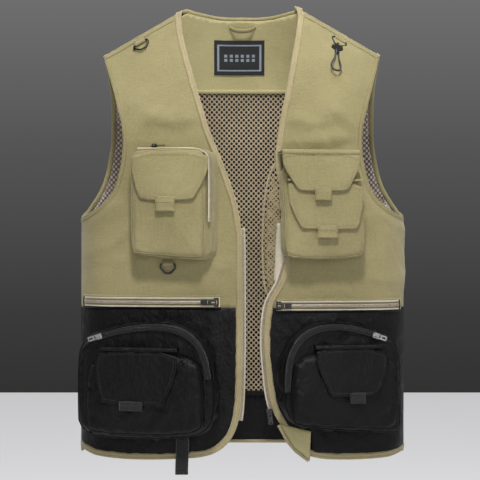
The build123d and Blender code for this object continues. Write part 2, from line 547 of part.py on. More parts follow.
# ---------------------------------------------------------------- left chest pockets, one in front of the other
LC_A = 7.6
lc = tilted(121.0, -(plan_depth(121.0) + CHEST_DEPTH - 4), LC_A)
lc_pts = lambda pts: flat(pts, 121.0, LC_A)
lc_outline = lc_pts([(58.5, -202.2), (173.4, -202.2), (178.6, -266.0), (180.9, -338.6), (175.7, -349.7), (70.4, -348.3), (63.0, -338.6), (61.5, -266.0)])
with BuildPart() as left_chest_pocket:
    add(bag(lc, lc_outline, mouth=lc_pts([(62.2, -182.9), (171.2, -182.9), (171.2, -208.1), (62.2, -208.1)])).part)
    # the strip that the upper flap is sewn to, over the mouth
    with BuildPart(mode=Mode.PRIVATE) as heel:
        add(slab(lc, lc_pts([(56.6, -193.4), (171.4, -193.4), (171.4, -191.9), (56.6, -191.9)]), -CHEST_DEPTH - 15, 12.0))
        add(core, mode=Mode.SUBTRACT)
    add(heel.part)
save(left_chest_pocket, "left_chest_pocket")
lc_outer = lc_pts([(65.7, -245.5), (174.2, -245.5), (178.6, -286.9), (180.1, -335.6), (174.2, -351.3), (70.1, -351.3), (63.4, -335.6), (63.4, -286.9)])
with BuildPart() as left_chest_outer_pocket:
    add(bag(lc, lc_outer, front=9.0, back=0.05, mouth=lc_pts([(69.3, -227.8), (171.2, -227.8), (171.2, -252.9), (69.3, -252.9)])).part)
    add(slab(lc, lc_pts([(65.6, -235.9), (177.1, -235.9), (177.1, -237.2), (65.6, -237.2)]), 0.05, 9.0))
save(left_chest_outer_pocket, "left_chest_outer_pocket")
lower_flap_low, lower_flap_high = 9.6, 10.8
with BuildPart() as left_chest_lower_flap:
    add(slab(lc, lc_pts([(65.6, -236.0), (68.5, -272.9), (84.8, -305.4), (169.6, -306.8), (177.1, -272.9), (177.1, -236.0)]), lower_flap_low, lower_flap_high))
    add(slab(lc, lc_pts([(109.1, -300.2), (109.1, -321.1), (139.3, -321.1), (139.3, -300.2)]), lower_flap_high, lower_flap_high + 1.2))
save(left_chest_lower_flap, "left_chest_lower_flap")
upper_low, upper_high = 12.6, 13.8
with BuildPart() as left_chest_upper_flap:
    add(slab(lc, lc_pts([(56.6, -193.5), (58.7, -216.3), (78.7, -248.7), (104.6, -251.7), (129.3, -251.7), (155.3, -248.7), (171.4, -214.9), (171.4, -193.5)]), upper_low, upper_high))
    add(slab(lc, lc_pts([(104.6, -245.8), (104.6, -265.5), (129.6, -265.5), (129.6, -245.8)]), upper_high, upper_high + 1.2))
save(left_chest_upper_flap, "left_chest_upper_flap")

# ---------------------------------------------------------------- lower pockets, black
def lower_pocket(side, x0, y0, angle, outline, plan, arch, strip, flap, tab, patch, mouth, slider_at, slider_spin, way):
    pl = tilted(x0, y0, angle)
    to = lambda pts: flat(pts, x0, angle)
    with BuildPart() as keep:
        with BuildSketch(Plane.XY.offset(-700)):
            with BuildLine():
                Polyline(*plan, close=True)
            make_face()
        extrude(amount=400)
    with BuildPart() as inner:
        with BuildSketch(Plane.XY.offset(-701)):
            with BuildLine():
                Polyline(*shrunk(plan, WALL), close=True)
            make_face()
        extrude(amount=402)
        add(slab(pl, to(outline), -125, -WALL, inset=WALL), mode=Mode.INTERSECT)
    with BuildPart() as pocket:
        add(slab(pl, to(outline), -120, 0))
        add(keep.part, mode=Mode.INTERSECT)
        add(core, mode=Mode.SUBTRACT)
        add(inner.part, mode=Mode.SUBTRACT)
    save(pocket, side + "_lower_pocket")
    with BuildPart() as tape:
        add(slab(pl, to(band(arch, 7.0)), 0.05, 1.0))
        add(slab(pl, to(band(arch, 4.4)), 0.9, 1.25))
    save(tape, side + "_lower_zip_tape")
    s = on(pl, *to([slider_at])[0], slider_spin)
    save(slider(s), side + "_lower_zip_slider")
    save(puller(s, way, 17.0), side + "_lower_zip_puller")
    print(side, "lower slider", s.origin, "x", s.x_dir, "y", s.y_dir, "z", s.z_dir)
    with BuildPart() as patch_pocket:
        add(bag(pl, to(patch), front=11.0, back=0.05, mouth=to(mouth)).part)
        add(slab(pl, to(strip), 0.05, 11.0))
    save(patch_pocket, side + "_lower_patch_pocket")
    with BuildPart() as cover:
        add(slab(pl, to(flap), 11.6, 12.8))
        add(slab(pl, to(tab), 12.8, 14.0))
    save(cover, side + "_lower_flap")
    return pl


lower_pocket(
    "right", -158.0, -108.0, -12.0,
    [(-248.0, -490.1), (-238.1, -475.9), (-223.2, -465.4), (-194.8, -456.4), (-165.0, -449.0), (-127.9, -445.7), (-98.2, -449.2), (-73.0, -460.9), (-56.8, -479.9), (-47.9, -503.4), (-44.2, -537.3), (-42.8, -571.1), (-50.9, -603.5), (-83.4, -616.6), (-175.4, -619.8), (-247.3, -614.1), (-249.1, -561.4)],
    [(-247, -20), (-262.5, -50), (-262.5, -90), (-45, -137), (-45, -86), (-45, -40), (-200, -20)],
    [(-221.7, -470.0), (-194.8, -462.3), (-165.0, -455.5), (-127.9, -452.3), (-101.1, -455.5), (-77.4, -466.0), (-62.6, -482.8), (-54.5, -504.9), (-50.9, -528.4)],
    [(-211.3, -485.9), (-93.4, -485.6), (-93.4, -487.1), (-211.3, -487.4)],
    [(-212.8, -487.2), (-218.0, -521.3), (-206.9, -565.0), (-114.5, -567.4), (-93.9, -520.5), (-93.3, -486.7)],
    [(-178.6, -561.8), (-178.6, -575.9), (-144.1, -575.9), (-144.1, -561.8)],
    [(-222.0, -493.4), (-233.8, -537.6), (-230.8, -606.9), (-174.5, -611.6), (-91.8, -610.0), (-58.0, -599.5), (-58.0, -536.4), (-68.3, -492.4)],
    [(-217.2, -478.4), (-72.7, -477.9), (-72.7, -502.9), (-217.2, -503.4)],
    (-213.6, -467.6), 17.0, -1)

lower_pocket(
    "left", 160.0, -108.5, 12.0,
    [(62.5, -559.4), (61.0, -518.1), (66.2, -488.7), (78.8, -466.0), (99.5, -452.1), (127.7, -445.6), (157.5, -447.3), (185.2, -454.1), (205.2, -463.8), (224.7, -472.1), (236.7, -487.1), (238.6, -546.4), (238.6, -605.8), (230.6, -613.1), (156.0, -607.0), (80.2, -599.3), (68.4, -578.5)],
    [(247, -20), (256.5, -50), (256.5, -86), (66, -134), (66, -86), (66, -40), (200, -20)],
    [(66.9, -547.6), (66.9, -516.7), (72.8, -491.6), (84.7, -471.2), (103.2, -458.8), (127.7, -452.3), (154.5, -453.7), (182.8, -460.0), (206.7, -469.0)],
    [(104.5, -482.5), (209.9, -482.7), (209.9, -484.1), (104.5, -484.0)],
    [(105.7, -483.1), (108.6, -513.2), (127.0, -553.7), (199.5, -552.9), (214.4, -511.0), (210.7, -483.7)],
    [(154.9, -548.6), (154.9, -564.8), (177.7, -564.8), (177.7, -548.6)],
    [(79.9, -489.6), (71.1, -536.5), (71.1, -593.7), (128.5, -600.0), (220.4, -604.7), (229.3, -596.7), (229.3, -537.7), (223.4, -490.5)],
    [(84.4, -475.1), (218.9, -475.7), (218.9, -500.7), (84.4, -500.0)],
    (197.8, -465.8), -19.0, 1)

# ---------------------------------------------------------------- hanging strap below the right lower pocket
sx, sz = (-90.1, -621.6)
strap_y = -96.0
with BuildPart() as hanging_strap:
    with BuildSketch(Plane.XZ.offset(-strap_y)):
        with BuildLine():
            Polyline((-99.8, -621.6), (-80.4, -621.6), (-80.4, -673.5), (-99.8, -673.5), close=True)
        make_face()
    extrude(amount=2.2)
save(hanging_strap, "hanging_strap")
print("strap", sx, sz)
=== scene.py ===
import math

import bpy
import numpy as np
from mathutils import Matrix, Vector
from mathutils.geometry import delaunay_2d_cdt


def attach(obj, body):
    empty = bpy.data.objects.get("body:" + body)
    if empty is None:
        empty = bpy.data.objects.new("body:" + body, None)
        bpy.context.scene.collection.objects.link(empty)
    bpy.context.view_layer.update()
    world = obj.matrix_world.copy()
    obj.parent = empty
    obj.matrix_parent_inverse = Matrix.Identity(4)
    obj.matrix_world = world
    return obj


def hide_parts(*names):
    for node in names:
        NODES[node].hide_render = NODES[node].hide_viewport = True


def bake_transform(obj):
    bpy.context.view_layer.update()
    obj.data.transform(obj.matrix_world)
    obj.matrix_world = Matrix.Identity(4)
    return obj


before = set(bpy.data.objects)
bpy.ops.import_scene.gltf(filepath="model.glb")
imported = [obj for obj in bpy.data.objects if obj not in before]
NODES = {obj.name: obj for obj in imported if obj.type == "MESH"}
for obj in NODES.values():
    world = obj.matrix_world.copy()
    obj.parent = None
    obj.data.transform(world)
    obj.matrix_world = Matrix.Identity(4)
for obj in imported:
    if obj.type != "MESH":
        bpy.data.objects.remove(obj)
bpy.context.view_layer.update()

# ------------------------------------------------------------------ the body's surface, as in the CAD (metres)
HALF_W, HALF_D, SIDE_R = 0.251, 0.085, 0.065
RIDGE, SLOPE, TAPER = 0.0896, 0.58, 0.240
CORNER = HALF_W - SIDE_R
KF = (CORNER**2 - (HALF_D - SIDE_R) ** 2) / (2 * (HALF_D - SIDE_R))
RF = HALF_D + KF
RC = (HALF_D**2 + TAPER**2) / (2 * HALF_D)
COLOUR_Z = -0.4258
BACK_HEM = -0.653


def plan(x):
    x = np.minimum(np.abs(x), HALF_W)
    tx = CORNER * RF / (RF - SIDE_R)
    a = np.sqrt(RF**2 - x**2) - KF
    b = np.sqrt(np.maximum(SIDE_R**2 - (x - CORNER) ** 2, 0))
    return np.where(x <= tx, a, b)


def soft_abs(x, w=0.06):
    x = np.abs(x)
    return np.where(x < w, x * x / (2 * w) + w / 2, x)


def _tables():
    tx = CORNER * RF / (RF - SIDE_R)
    a = np.linspace(0, math.asin(tx / RF), 600)
    b = np.linspace(math.asin((tx - CORNER) / SIDE_R), math.pi / 2, 400)
    xs = np.concatenate([RF * np.sin(a), CORNER + SIDE_R * np.sin(b)[1:]])
    ys = np.concatenate([RF * np.cos(a) - KF, SIDE_R * np.cos(b)[1:]])
    s = np.concatenate([[0], np.cumsum(np.hypot(np.diff(xs), np.diff(ys)))])
    y = np.linspace(0, HALF_D, 2000) ** 1.0
    y = HALF_D * (y / HALF_D) ** 1.6
    r = 0.005
    ye = np.minimum(np.sqrt(y * y + r * r * (1 - y / HALF_D)), HALF_D)
    g = lambda v: TAPER - np.sqrt(np.maximum(RC**2 - (v + RC - HALF_D) ** 2, 0))
    t = g(ye) - g(np.array([r]))[0] * np.exp(-((y / (3 * r)) ** 2))
    t = np.maximum.accumulate(np.maximum(t, 0)) + np.linspace(0, 1e-7, len(y))
    q = np.concatenate([[0], np.cumsum(np.hypot(np.diff(y), np.diff(t)))])
    return xs, s, y, t, q


XS, SS, YT, TT, QT = _tables()
Q_END, T_END = QT[-1], TT[-1]


def s_of(x):
    return np.sign(x) * np.interp(np.abs(x), XS, SS)


def x_of(s):
    return np.sign(s) * np.interp(np.abs(s), SS, XS)


def s_full(x):
    """As s_of, with the last millimetres before the side seam drawn out to the seam itself."""
    k = np.clip((np.abs(x) - 0.2478) / 0.0009, 0, 1)
    s = s_of(x)
    return s + np.sign(x) * k * (SS[-1] - np.abs(s))


def q_of_t(t):
    t = np.maximum(t, 0)
    return np.where(t <= T_END, np.interp(t, TT, QT), Q_END + t - T_END)


def to_sq(pts, front):
    """Front-view points (x, z) to the surface's own coordinates; q is below 0 on the front."""
    p = np.asarray(pts, float)
    t = RIDGE - SLOPE * soft_abs(p[:, 0]) - p[:, 1]
    q = q_of_t(t)
    return np.stack([s_full(p[:, 0]), -q if front else q], 1)


def base_point(s, q):
    x = x_of(s)
    aq = np.abs(q)
    t = np.where(aq <= Q_END, np.interp(aq, QT, TT), T_END + aq - Q_END)
    y = np.where(aq <= Q_END, np.interp(aq, QT, YT), HALF_D)
    p = plan(x)
    k = 0.012
    h = np.clip(0.5 + 0.5 * (p - y) / k, 0, 1)
    d = p * (1 - h) + y * h - k * h * (1 - h)
    # the smooth minimum is only wanted where both are deep enough
    d = np.where((p < 0.012) | (y < 0.012), np.minimum(p, y), d)
    w = np.clip(np.minimum(p, y) / 0.03, 0, 1)
    d = np.minimum(p, y) * (1 - w) + d * w
    z = RIDGE - SLOPE * soft_abs(x) - t
    return np.stack([x, np.where(q < 0, -d, d), z], 1)


def surf(sq, off=0.0):
    """Points and outward normals at (s, q), moved out by off."""
    s, q = sq[:, 0], sq[:, 1]
    e = 0.0012
    smax = SS[-1]
    s1, s0 = np.minimum(s + e, smax), np.maximum(s - e, -smax)
    du = base_point(s1, q) - base_point(s0, q)
    dv = base_point(s, q + e) - base_point(s, q - e)
    n = np.cross(du, dv)
    n /= np.maximum(np.linalg.norm(n, axis=1, keepdims=True), 1e-12)
    # outwards: away from the body's middle plane
    out = np.stack([s * 0, np.where(q < 0, -1.0, 1.0), s * 0 + 0.35], 1)
    near = np.abs(np.abs(s) - smax) < 0.03
    out[near, 0] = np.sign(s[near]) * 2
    flip = np.sum(n * out, 1) < 0
    n[flip] *= -1
    return base_point(s, q) + n * np.reshape(off, (-1, 1)), n


# ------------------------------------------------------------------ noise, the same on every run
def _hash(i, j, seed):
    v = np.sin(i * 127.1 + j * 311.7 + seed * 74.7) * 43758.5453
    return v - np.floor(v)


def vnoise(x, y, seed=0):
    i, j = np.floor(x), np.floor(y)
    fx, fy = x - i, y - j
    fx, fy = fx * fx * fx * (fx * (fx * 6 - 15) + 10), fy * fy * fy * (fy * (fy * 6 - 15) + 10)
    a, b = _hash(i, j, seed), _hash(i + 1, j, seed)
    c, d = _hash(i, j + 1, seed), _hash(i + 1, j + 1, seed)
    return 2 * ((a * (1 - fx) + b * fx) * (1 - fy) + (c * (1 - fx) + d * fx) * fy) - 1


def crumple(x, y, size, seed=0, angle=0.0, stretch=1.0):
    """Noise with soft ridges, for creases. size is a wavelength; stretch makes them long along angle."""
    ca, sa = math.cos(angle), math.sin(angle)
    u, v = (x * ca + y * sa) / (size * stretch), (-x * sa + y * ca) / size
    wx, wy = 0.6 * vnoise(u * 0.7 + 5, v * 0.7, seed + 3), 0.6 * vnoise(u * 0.7, v * 0.7 + 9, seed + 4)
    n = vnoise(u + wx, v + wy, seed)
    m = vnoise(u * 2.1 + wy, v * 2.1 - wx, seed + 1)
    return 0.65 * (1 - 2 * np.abs(n)) + 0.35 * m


# ------------------------------------------------------------------ flat shapes
def dense(pts, h, close=True):
    p = [np.asarray(v, float) for v in pts]
    out = []
    m = len(p) if close else len(p) - 1
    for i in range(m):
        a, b = p[i], p[(i + 1) % len(p)]
        k = max(1, int(round(np.linalg.norm(b - a) / h)))
        for j in range(k):
            out.append(a + (b - a) * j / k)
    if not close:
        out.append(p[-1])
    return np.array(out)


def smooth_line(pts, times=2, close=False):
    """Corner cutting that keeps the ends."""
    p = np.asarray(pts, float)
    for _ in range(times):
        if close:
            q = np.roll(p, -1, 0)
            p = np.stack([0.75 * p + 0.25 * q, 0.25 * p + 0.75 * q], 1).reshape(-1, p.shape[1])
        else:
            a, b = p[:-1], p[1:]
            mid = np.stack([0.75 * a + 0.25 * b, 0.25 * a + 0.75 * b], 1).reshape(-1, p.shape[1])
            p = np.concatenate([p[:1], mid[1:-1], p[-1:]])
    return p


def even(pts, h):
    """A line resampled at an even step."""
    p = np.asarray(pts, float)
    d = np.concatenate([[0], np.cumsum(np.linalg.norm(np.diff(p, axis=0), axis=1))])
    n = max(2, int(round(d[-1] / h)) + 1)
    t = np.linspace(0, d[-1], n)
    return np.stack([np.interp(t, d, p[:, k]) for k in range(p.shape[1])], 1)


def inside(pts, poly):
    x, y = pts[:, 0], pts[:, 1]
    res = np.zeros(len(pts), bool)
    n = len(poly)
    for i in range(n):
        x1, y1 = poly[i]
        x2, y2 = poly[(i + 1) % n]
        if y1 == y2:
            continue
        c = (y1 > y) != (y2 > y)
        res ^= c & (x < (x2 - x1) * (y - y1) / (y2 - y1) + x1)
    return res


def line_dist(pts, line, close=False):
    """Distance from each point to a line of points."""
    best = np.full(len(pts), 1e9)
    n = len(line)
    for i in range(n if close else n - 1):
        a, b = np.asarray(line[i], float), np.asarray(line[(i + 1) % n], float)
        d = b - a
        l2 = float(d @ d)
        if l2 < 1e-14:
            continue
        t = np.clip(((pts - a) @ d) / l2, 0, 1)
        best = np.minimum(best, np.linalg.norm(pts - a - t[:, None] * d, axis=1))
    return best


def inset(poly, d):
    p = [tuple(v) for v in poly]
    n = len(p)
    turn = sum(p[i][0] * p[(i + 1) % n][1] - p[(i + 1) % n][0] * p[i][1] for i in range(n))
    s = 1 if turn > 0 else -1
    out = []
    for i in range(n):
        (ax, az), (bx, bz), (cx, cz) = p[i - 1], p[i], p[(i + 1) % n]
        l1, l2 = math.hypot(bx - ax, bz - az) or 1e-9, math.hypot(cx - bx, cz - bz) or 1e-9
        n1 = (-(bz - az) / l1 * s, (bx - ax) / l1 * s)
        n2 = (-(cz - bz) / l2 * s, (cx - bx) / l2 * s)
        k = max(1 + n1[0] * n2[0] + n1[1] * n2[1], 0.35)
        out.append((bx + d * (n1[0] + n2[0]) / k, bz + d * (n1[1] + n2[1]) / k))
    return out


def clip_poly(poly, axis, value, keep_above):
    """Cuts a closed outline at x or z = value."""
    out = []
    n = len(poly)
    for i in range(n):
        a, b = poly[i], poly[(i + 1) % n]
        ia = (a[axis] >= value) == keep_above
        ib = (b[axis] >= value) == keep_above
        if ia:
            out.append(tuple(a))
        if ia != ib:
            t = (value - a[axis]) / (b[axis] - a[axis])
            out.append(tuple(a[k] + (b[k] - a[k]) * t for k in range(2)))
    return out


def fill(poly, h, seed=0):
    """Triangles inside a closed outline with an even grid of points. Returns points and triangles."""
    poly = dense(poly, h * 0.8)
    lo, hi = poly.min(0), poly.max(0)
    gx = np.arange(lo[0], hi[0] + h, h)
    gy = np.arange(lo[1], hi[1] + h, h * 0.866)
    g = np.array([(x + (h / 2 if j % 2 else 0), y) for j, y in enumerate(gy) for x in gx])
    g = g[inside(g, poly)]
    if len(g):
        g = g[line_dist(g, poly, True) > 0.5 * h]
    pts = np.concatenate([poly, g]) if len(g) else poly
    k = 1000.0
    v, _e, f, *_ = delaunay_2d_cdt([Vector((float(a) * k, float(b) * k)) for a, b in pts], [], [list(range(len(poly)))], 1, 1e-6, False)
    v = np.array([(a.x, a.y) for a in v]) / k
    f = np.array([tuple(t) for t in f])
    ok = inside(v[f].mean(1), poly)
    a, b, c = v[f[:, 0]], v[f[:, 1]], v[f[:, 2]]
    ok &= np.abs((b[:, 0] - a[:, 0]) * (c[:, 1] - a[:, 1]) - (b[:, 1] - a[:, 1]) * (c[:, 0] - a[:, 0])) > 1e-10
    f = f[ok]
    used = np.unique(f)
    back = np.full(len(v), -1)
    back[used] = np.arange(len(used))
    return v[used], [tuple(int(i) for i in t) for t in back[f]]


def rim_of(tris):
    seen = {}
    for t in tris:
        m = len(t)
        for i in range(m):
            a, b = t[i], t[(i + 1) % m]
            if (b, a) in seen:
                del seen[(b, a)]
            else:
                seen[(a, b)] = True
    return list(seen)


def mesh_object(name, verts, faces, mat=None, flat_from=None):
    me = bpy.data.meshes.new(name)
    me.from_pydata([tuple(map(float, v)) for v in verts], [], [tuple(f) for f in faces])
    me.validate()
    me.update()
    sm = np.ones(len(me.polygons), bool)
    if flat_from is not None:
        sm[flat_from:] = False
    me.polygons.foreach_set("use_smooth", sm)
    ob = bpy.data.objects.new(name, me)
    bpy.context.scene.collection.objects.link(ob)
    if mat:
        me.materials.append(mat)
    return ob


def solid_sheet(name, top, under, tris, mat, hint, mat_in=None):
    """A closed thin piece from its outer and inner points. hint is a rough outward direction."""
    top, under = np.asarray(top), np.asarray(under)
    n = len(top)
    c = np.zeros(3)
    for t in tris[:: max(1, len(tris) // 200)]:
        c += np.cross(top[t[1]] - top[t[0]], top[t[2]] - top[t[0]])
    if c @ np.asarray(hint, float) < 0:
        tris = [t[::-1] for t in tris]
    faces = [tuple(t) for t in tris] + [tuple(n + i for i in t[::-1]) for t in tris]
    m = len(faces)
    for a, b in rim_of(tris):
        faces.append((b, a, n + a, n + b))
    ob = mesh_object(name, np.concatenate([top, under]), faces, mat, m)
    if mat_in is not None:
        ob.data.materials.append(mat_in)
        k = np.zeros(len(ob.data.polygons), np.int32)
        k[len(tris):2 * len(tris)] = 1
        ob.data.polygons.foreach_set("material_index", k)
    return ob


PIECES = {}


def keep(ob, body, replaces=()):
    if body:
        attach(ob, body)
    if replaces:
        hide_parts(*replaces)
    PIECES[ob.name] = ob
    return ob


def half_area(ob):
    me = ob.data
    a = np.zeros(len(me.polygons))
    me.polygons.foreach_get("area", a)
    return float(a.sum()) / 2


def declare(ob, layers=2):
    """Works out the flat area of one face of the piece; the value is not used."""
    area = half_area(ob) * (2 / layers)


def body_sheet(name, outline, front, off, thick, mat, h=0.0055, disp=None, dents=(), mat_in=None):
    """A sheet on the body's surface inside a front-view outline. disp(x, z, s, q) adds relief; dents are stitch lines."""
    sq = to_sq(dense(outline, 0.006), front)
    v, tris = fill(sq, h)
    p0, _ = surf(v)
    d = np.zeros(len(v))
    if disp is not None:
        d = disp(p0[:, 0], p0[:, 2], v[:, 0], v[:, 1])
        d = 0.5 * (d + np.sqrt(d * d + 0.0008**2)) - 0.0002
        d = d * np.clip(line_dist(v, sq, True) / 0.016, 0, 1) ** 1.3
    for line, depth, wide in dents:
        dd = line_dist(v, to_sq(line, front))
        pucker = 1 + 0.5 * vnoise(v[:, 0] / 0.006, v[:, 1] / 0.006, 7)
        d = d - depth * pucker * np.exp(-((dd / wide) ** 2))
    top, nn = surf(v, off + d)
    under = top - nn * thick
    return solid_sheet(name, top, under, tris, mat, (0, -1 if front else 1, 0.01), mat_in)


def edge_band(name, path, section, mat, front=None, side=1, h=0.004, sq=None, wobble=0.0, seed=0, region=None):
    """A strip swept along an edge of the body. section is a list of (inwards, outwards) points, closed."""
    line = sq if sq is not None else to_sq(even(path, h), front)
    line = even(line, h)
    p, n = surf(line)
    t = np.gradient(p, axis=0)
    t /= np.maximum(np.linalg.norm(t, axis=1, keepdims=True), 1e-9)
    b = np.cross(n, t) * side
    b /= np.maximum(np.linalg.norm(b, axis=1, keepdims=True), 1e-9)
    if region is not None:
        # the section's inward side is the side the piece is on
        k = np.arange(len(p) // 4, 3 * len(p) // 4 + 1)
        w = p[k] + b[k] * 0.004
        if inside(w[:, [0, 2]], np.array(region)).mean() < 0.5:
            b = -b
    m = len(section)
    verts = []
    for i in range(len(p)):
        w = wobble * float(vnoise(np.array([i * h / 0.011]), np.array([seed * 3.3]), seed)[0])
        for (u, v) in section:
            verts.append(p[i] + b[i] * (u * (1 + 0.05 * w)) + n[i] * (v + (w * 0.00035 if v > 0 else 0)))
    faces = []
    for i in range(len(p) - 1):
        for j in range(m):
            a, c = i * m + j, i * m + (j + 1) % m
            faces.append((a, c, c + m, a + m))
    faces.append(tuple(range(m))[::-1])
    faces.append(tuple((len(p) - 1) * m + j for j in range(m)))
    ob = mesh_object(name, verts, faces, mat)
    fix_normals(ob)
    return ob


def fix_normals(ob):
    import bmesh
    bm = bmesh.new()
    bm.from_mesh(ob.data)
    bmesh.ops.recalc_face_normals(bm, faces=bm.faces)
    bm.to_mesh(ob.data)
    bm.free()
    ob.data.update()


def tube(name, pts, radius, mat, sides=8, close=False, squash_n=None):
    p = np.asarray(pts, float)
    if close:
        t = np.roll(p, -1, 0) - np.roll(p, 1, 0)
    else:
        t = np.gradient(p, axis=0)
    t /= np.maximum(np.linalg.norm(t, axis=1, keepdims=True), 1e-9)
    up = np.array([0.13, -0.9, 0.4])
    verts = []
    for i in range(len(p)):
        a = np.cross(t[i], up)
        a /= max(np.linalg.norm(a), 1e-9)
        b = np.cross(t[i], a)
        for j in range(sides):
            w = 2 * math.pi * j / sides
            verts.append(p[i] + (a * math.cos(w) + b * math.sin(w)) * radius)
    faces = []
    n = len(p)
    for i in range(n if close else n - 1):
        for j in range(sides):
            a, b = i * sides + j, i * sides + (j + 1) % sides
            c, d = ((i + 1) % n) * sides + (j + 1) % sides, ((i + 1) % n) * sides + j
            faces.append((a, b, c, d))
    if not close:
        faces.append(tuple(range(sides)))
        faces.append(tuple((n - 1) * sides + j for j in range(sides))[::-1])
    ob = mesh_object(name, verts, faces, mat)
    fix_normals(ob)
    return ob


def join(name, obs):
    """Several meshes as one piece; each keeps its material."""
    verts, faces, mats, idx, smooth = [], [], [], [], []
    k = 0
    for o in obs:
        me = o.data
        base = len(mats)
        for m in me.materials:
            mats.append(m)
        verts += [tuple(v.co) for v in me.vertices]
        for p in me.polygons:
            faces.append(tuple(k + i for i in p.vertices))
            idx.append(base + p.material_index)
            smooth.append(p.use_smooth)
        k += len(me.vertices)
        bpy.data.objects.remove(o)
    me = bpy.data.meshes.new(name)
    me.from_pydata(verts, [], faces)
    uniq = []
    remap = []
    for m in mats:
        if m not in uniq:
            uniq.append(m)
        remap.append(uniq.index(m))
    for m in uniq:
        me.materials.append(m)
    me.polygons.foreach_set("material_index", [remap[i] for i in idx])
    me.polygons.foreach_set("use_smooth", smooth)
    me.update()
    ob = bpy.data.objects.new(name, me)
    bpy.context.scene.collection.objects.link(ob)
    return ob


def stitches(name, lines, mat, length=0.0026, gap=0.0012, wide=0.00032, tall=0.00028):
    """Rows of thread along lines of (point, normal) arrays."""
    verts, faces = [], []
    ring = 6
    for p, n in lines:
        p, n = np.asarray(p, float), np.asarray(n, float)
        d = np.concatenate([[0], np.cumsum(np.linalg.norm(np.diff(p, axis=0), axis=1))])
        if d[-1] < length:
            continue
        at = np.arange(0.0004, d[-1] - length, length + gap)
        q = lambda w: np.array([np.interp(w, d, p[:, k]) for k in range(3)])
        qn = lambda w: np.array([np.interp(w, d, n[:, k]) for k in range(3)])
        for a in at:
            p0, p1, c = q(a), q(a + length), qn(a + length / 2)
            t = p1 - p0
            l = np.linalg.norm(t)
            if l < 1e-6:
                continue
            t /= l
            b = np.cross(c, t)
            b /= max(np.linalg.norm(b), 1e-9)
            k = len(verts)
            for f, r in ((0.0, 0.25), (0.2, 1.0), (0.8, 1.0), (1.0, 0.25)):
                for j in range(ring):
                    w = 2 * math.pi * j / ring
                    verts.append(p0 + t * l * f + b * wide * r * math.cos(w) + c * (tall * r * math.sin(w) + tall * 0.3))
            for i in range(3):
                for j in range(ring):
                    x, y = k + i * ring + j, k + i * ring + (j + 1) % ring
                    faces.append((x, y, y + ring, x + ring))
    ob = mesh_object(name, verts, faces, mat)
    return ob


def body_line(path, front, off, h=0.004, sq=None):
    line = sq if sq is not None else to_sq(even(path, h), front)
    line = even(line, h)
    p, n = surf(line, off)
    return p, n


def shift_line(path, d):
    """A front-view line moved sideways by d (left of its direction)."""
    p = even(path, 0.004)
    t = np.gradient(p, axis=0)
    t /= np.maximum(np.linalg.norm(t, axis=1, keepdims=True), 1e-9)
    return p + np.stack([-t[:, 1], t[:, 0]], 1) * d


def on_front(path):
    """The part of a line below the shoulder fold, from the fold down; the crossing is interpolated."""
    p = np.asarray(path, float)
    t = RIDGE - SLOPE * soft_abs(p[:, 0]) - p[:, 1]
    out = []
    for i in range(len(p)):
        if i and (t[i - 1] < 0) != (t[i] < 0):
            f = t[i - 1] / (t[i - 1] - t[i])
            out.append(p[i - 1] + (p[i] - p[i - 1]) * f)
        if t[i] >= 0:
            out.append(p[i])
    return np.array(out)

# ------------------------------------------------------------------ materials
def new_mat(name):
    m = bpy.data.materials.new(name)
    m.use_nodes = True
    nt = m.node_tree
    return m, nt, nt.nodes["Principled BSDF"]


def noise_node(nt, coord, scale, detail=3.0, rough=0.55, squash=None):
    n = nt.nodes.new("ShaderNodeTexNoise")
    n.inputs["Scale"].default_value = scale
    n.inputs["Detail"].default_value = detail
    n.inputs["Roughness"].default_value = rough
    src = coord
    if squash:
        mp = nt.nodes.new("ShaderNodeMapping")
        mp.inputs["Scale"].default_value = squash
        nt.links.new(coord, mp.inputs["Vector"])
        src = mp.outputs["Vector"]
    nt.links.new(src, n.inputs["Vector"])
    return n.outputs["Fac"]


def wave_node(nt, coord, scale, axis):
    w = nt.nodes.new("ShaderNodeTexWave")
    w.wave_type = "BANDS"
    w.bands_direction = axis
    w.inputs["Scale"].default_value = scale
    w.inputs["Distortion"].default_value = 0.6
    w.inputs["Detail"].default_value = 1.0
    w.inputs["Detail Scale"].default_value = 1.5
    nt.links.new(coord, w.inputs["Vector"])
    return w.outputs["Fac"]


def math_node(nt, op, a, b=None):
    n = nt.nodes.new("ShaderNodeMath")
    n.operation = op
    for i, v in enumerate((a, b)):
        if v is None:
            continue
        if isinstance(v, (int, float)):
            n.inputs[i].default_value = v
        else:
            nt.links.new(v, n.inputs[i])
    return n.outputs[0]


def ramp(nt, fac, stops):
    r = nt.nodes.new("ShaderNodeValToRGB")
    els = r.color_ramp.elements
    while len(els) < len(stops):
        els.new(0.5)
    for e, (pos, col) in zip(els, stops):
        e.position = pos
        e.color = (*col, 1) if len(col) == 3 else col
    nt.links.new(fac, r.inputs["Fac"])
    return r.outputs["Color"]


def bump_chain(nt, bsdf, parts):
    last = None
    for height, strength, dist in parts:
        b = nt.nodes.new("ShaderNodeBump")
        b.inputs["Strength"].default_value = strength
        b.inputs["Distance"].default_value = dist
        nt.links.new(height, b.inputs["Height"])
        if last:
            nt.links.new(last, b.inputs["Normal"])
        last = b.outputs["Normal"]
    nt.links.new(last, bsdf.inputs["Normal"])


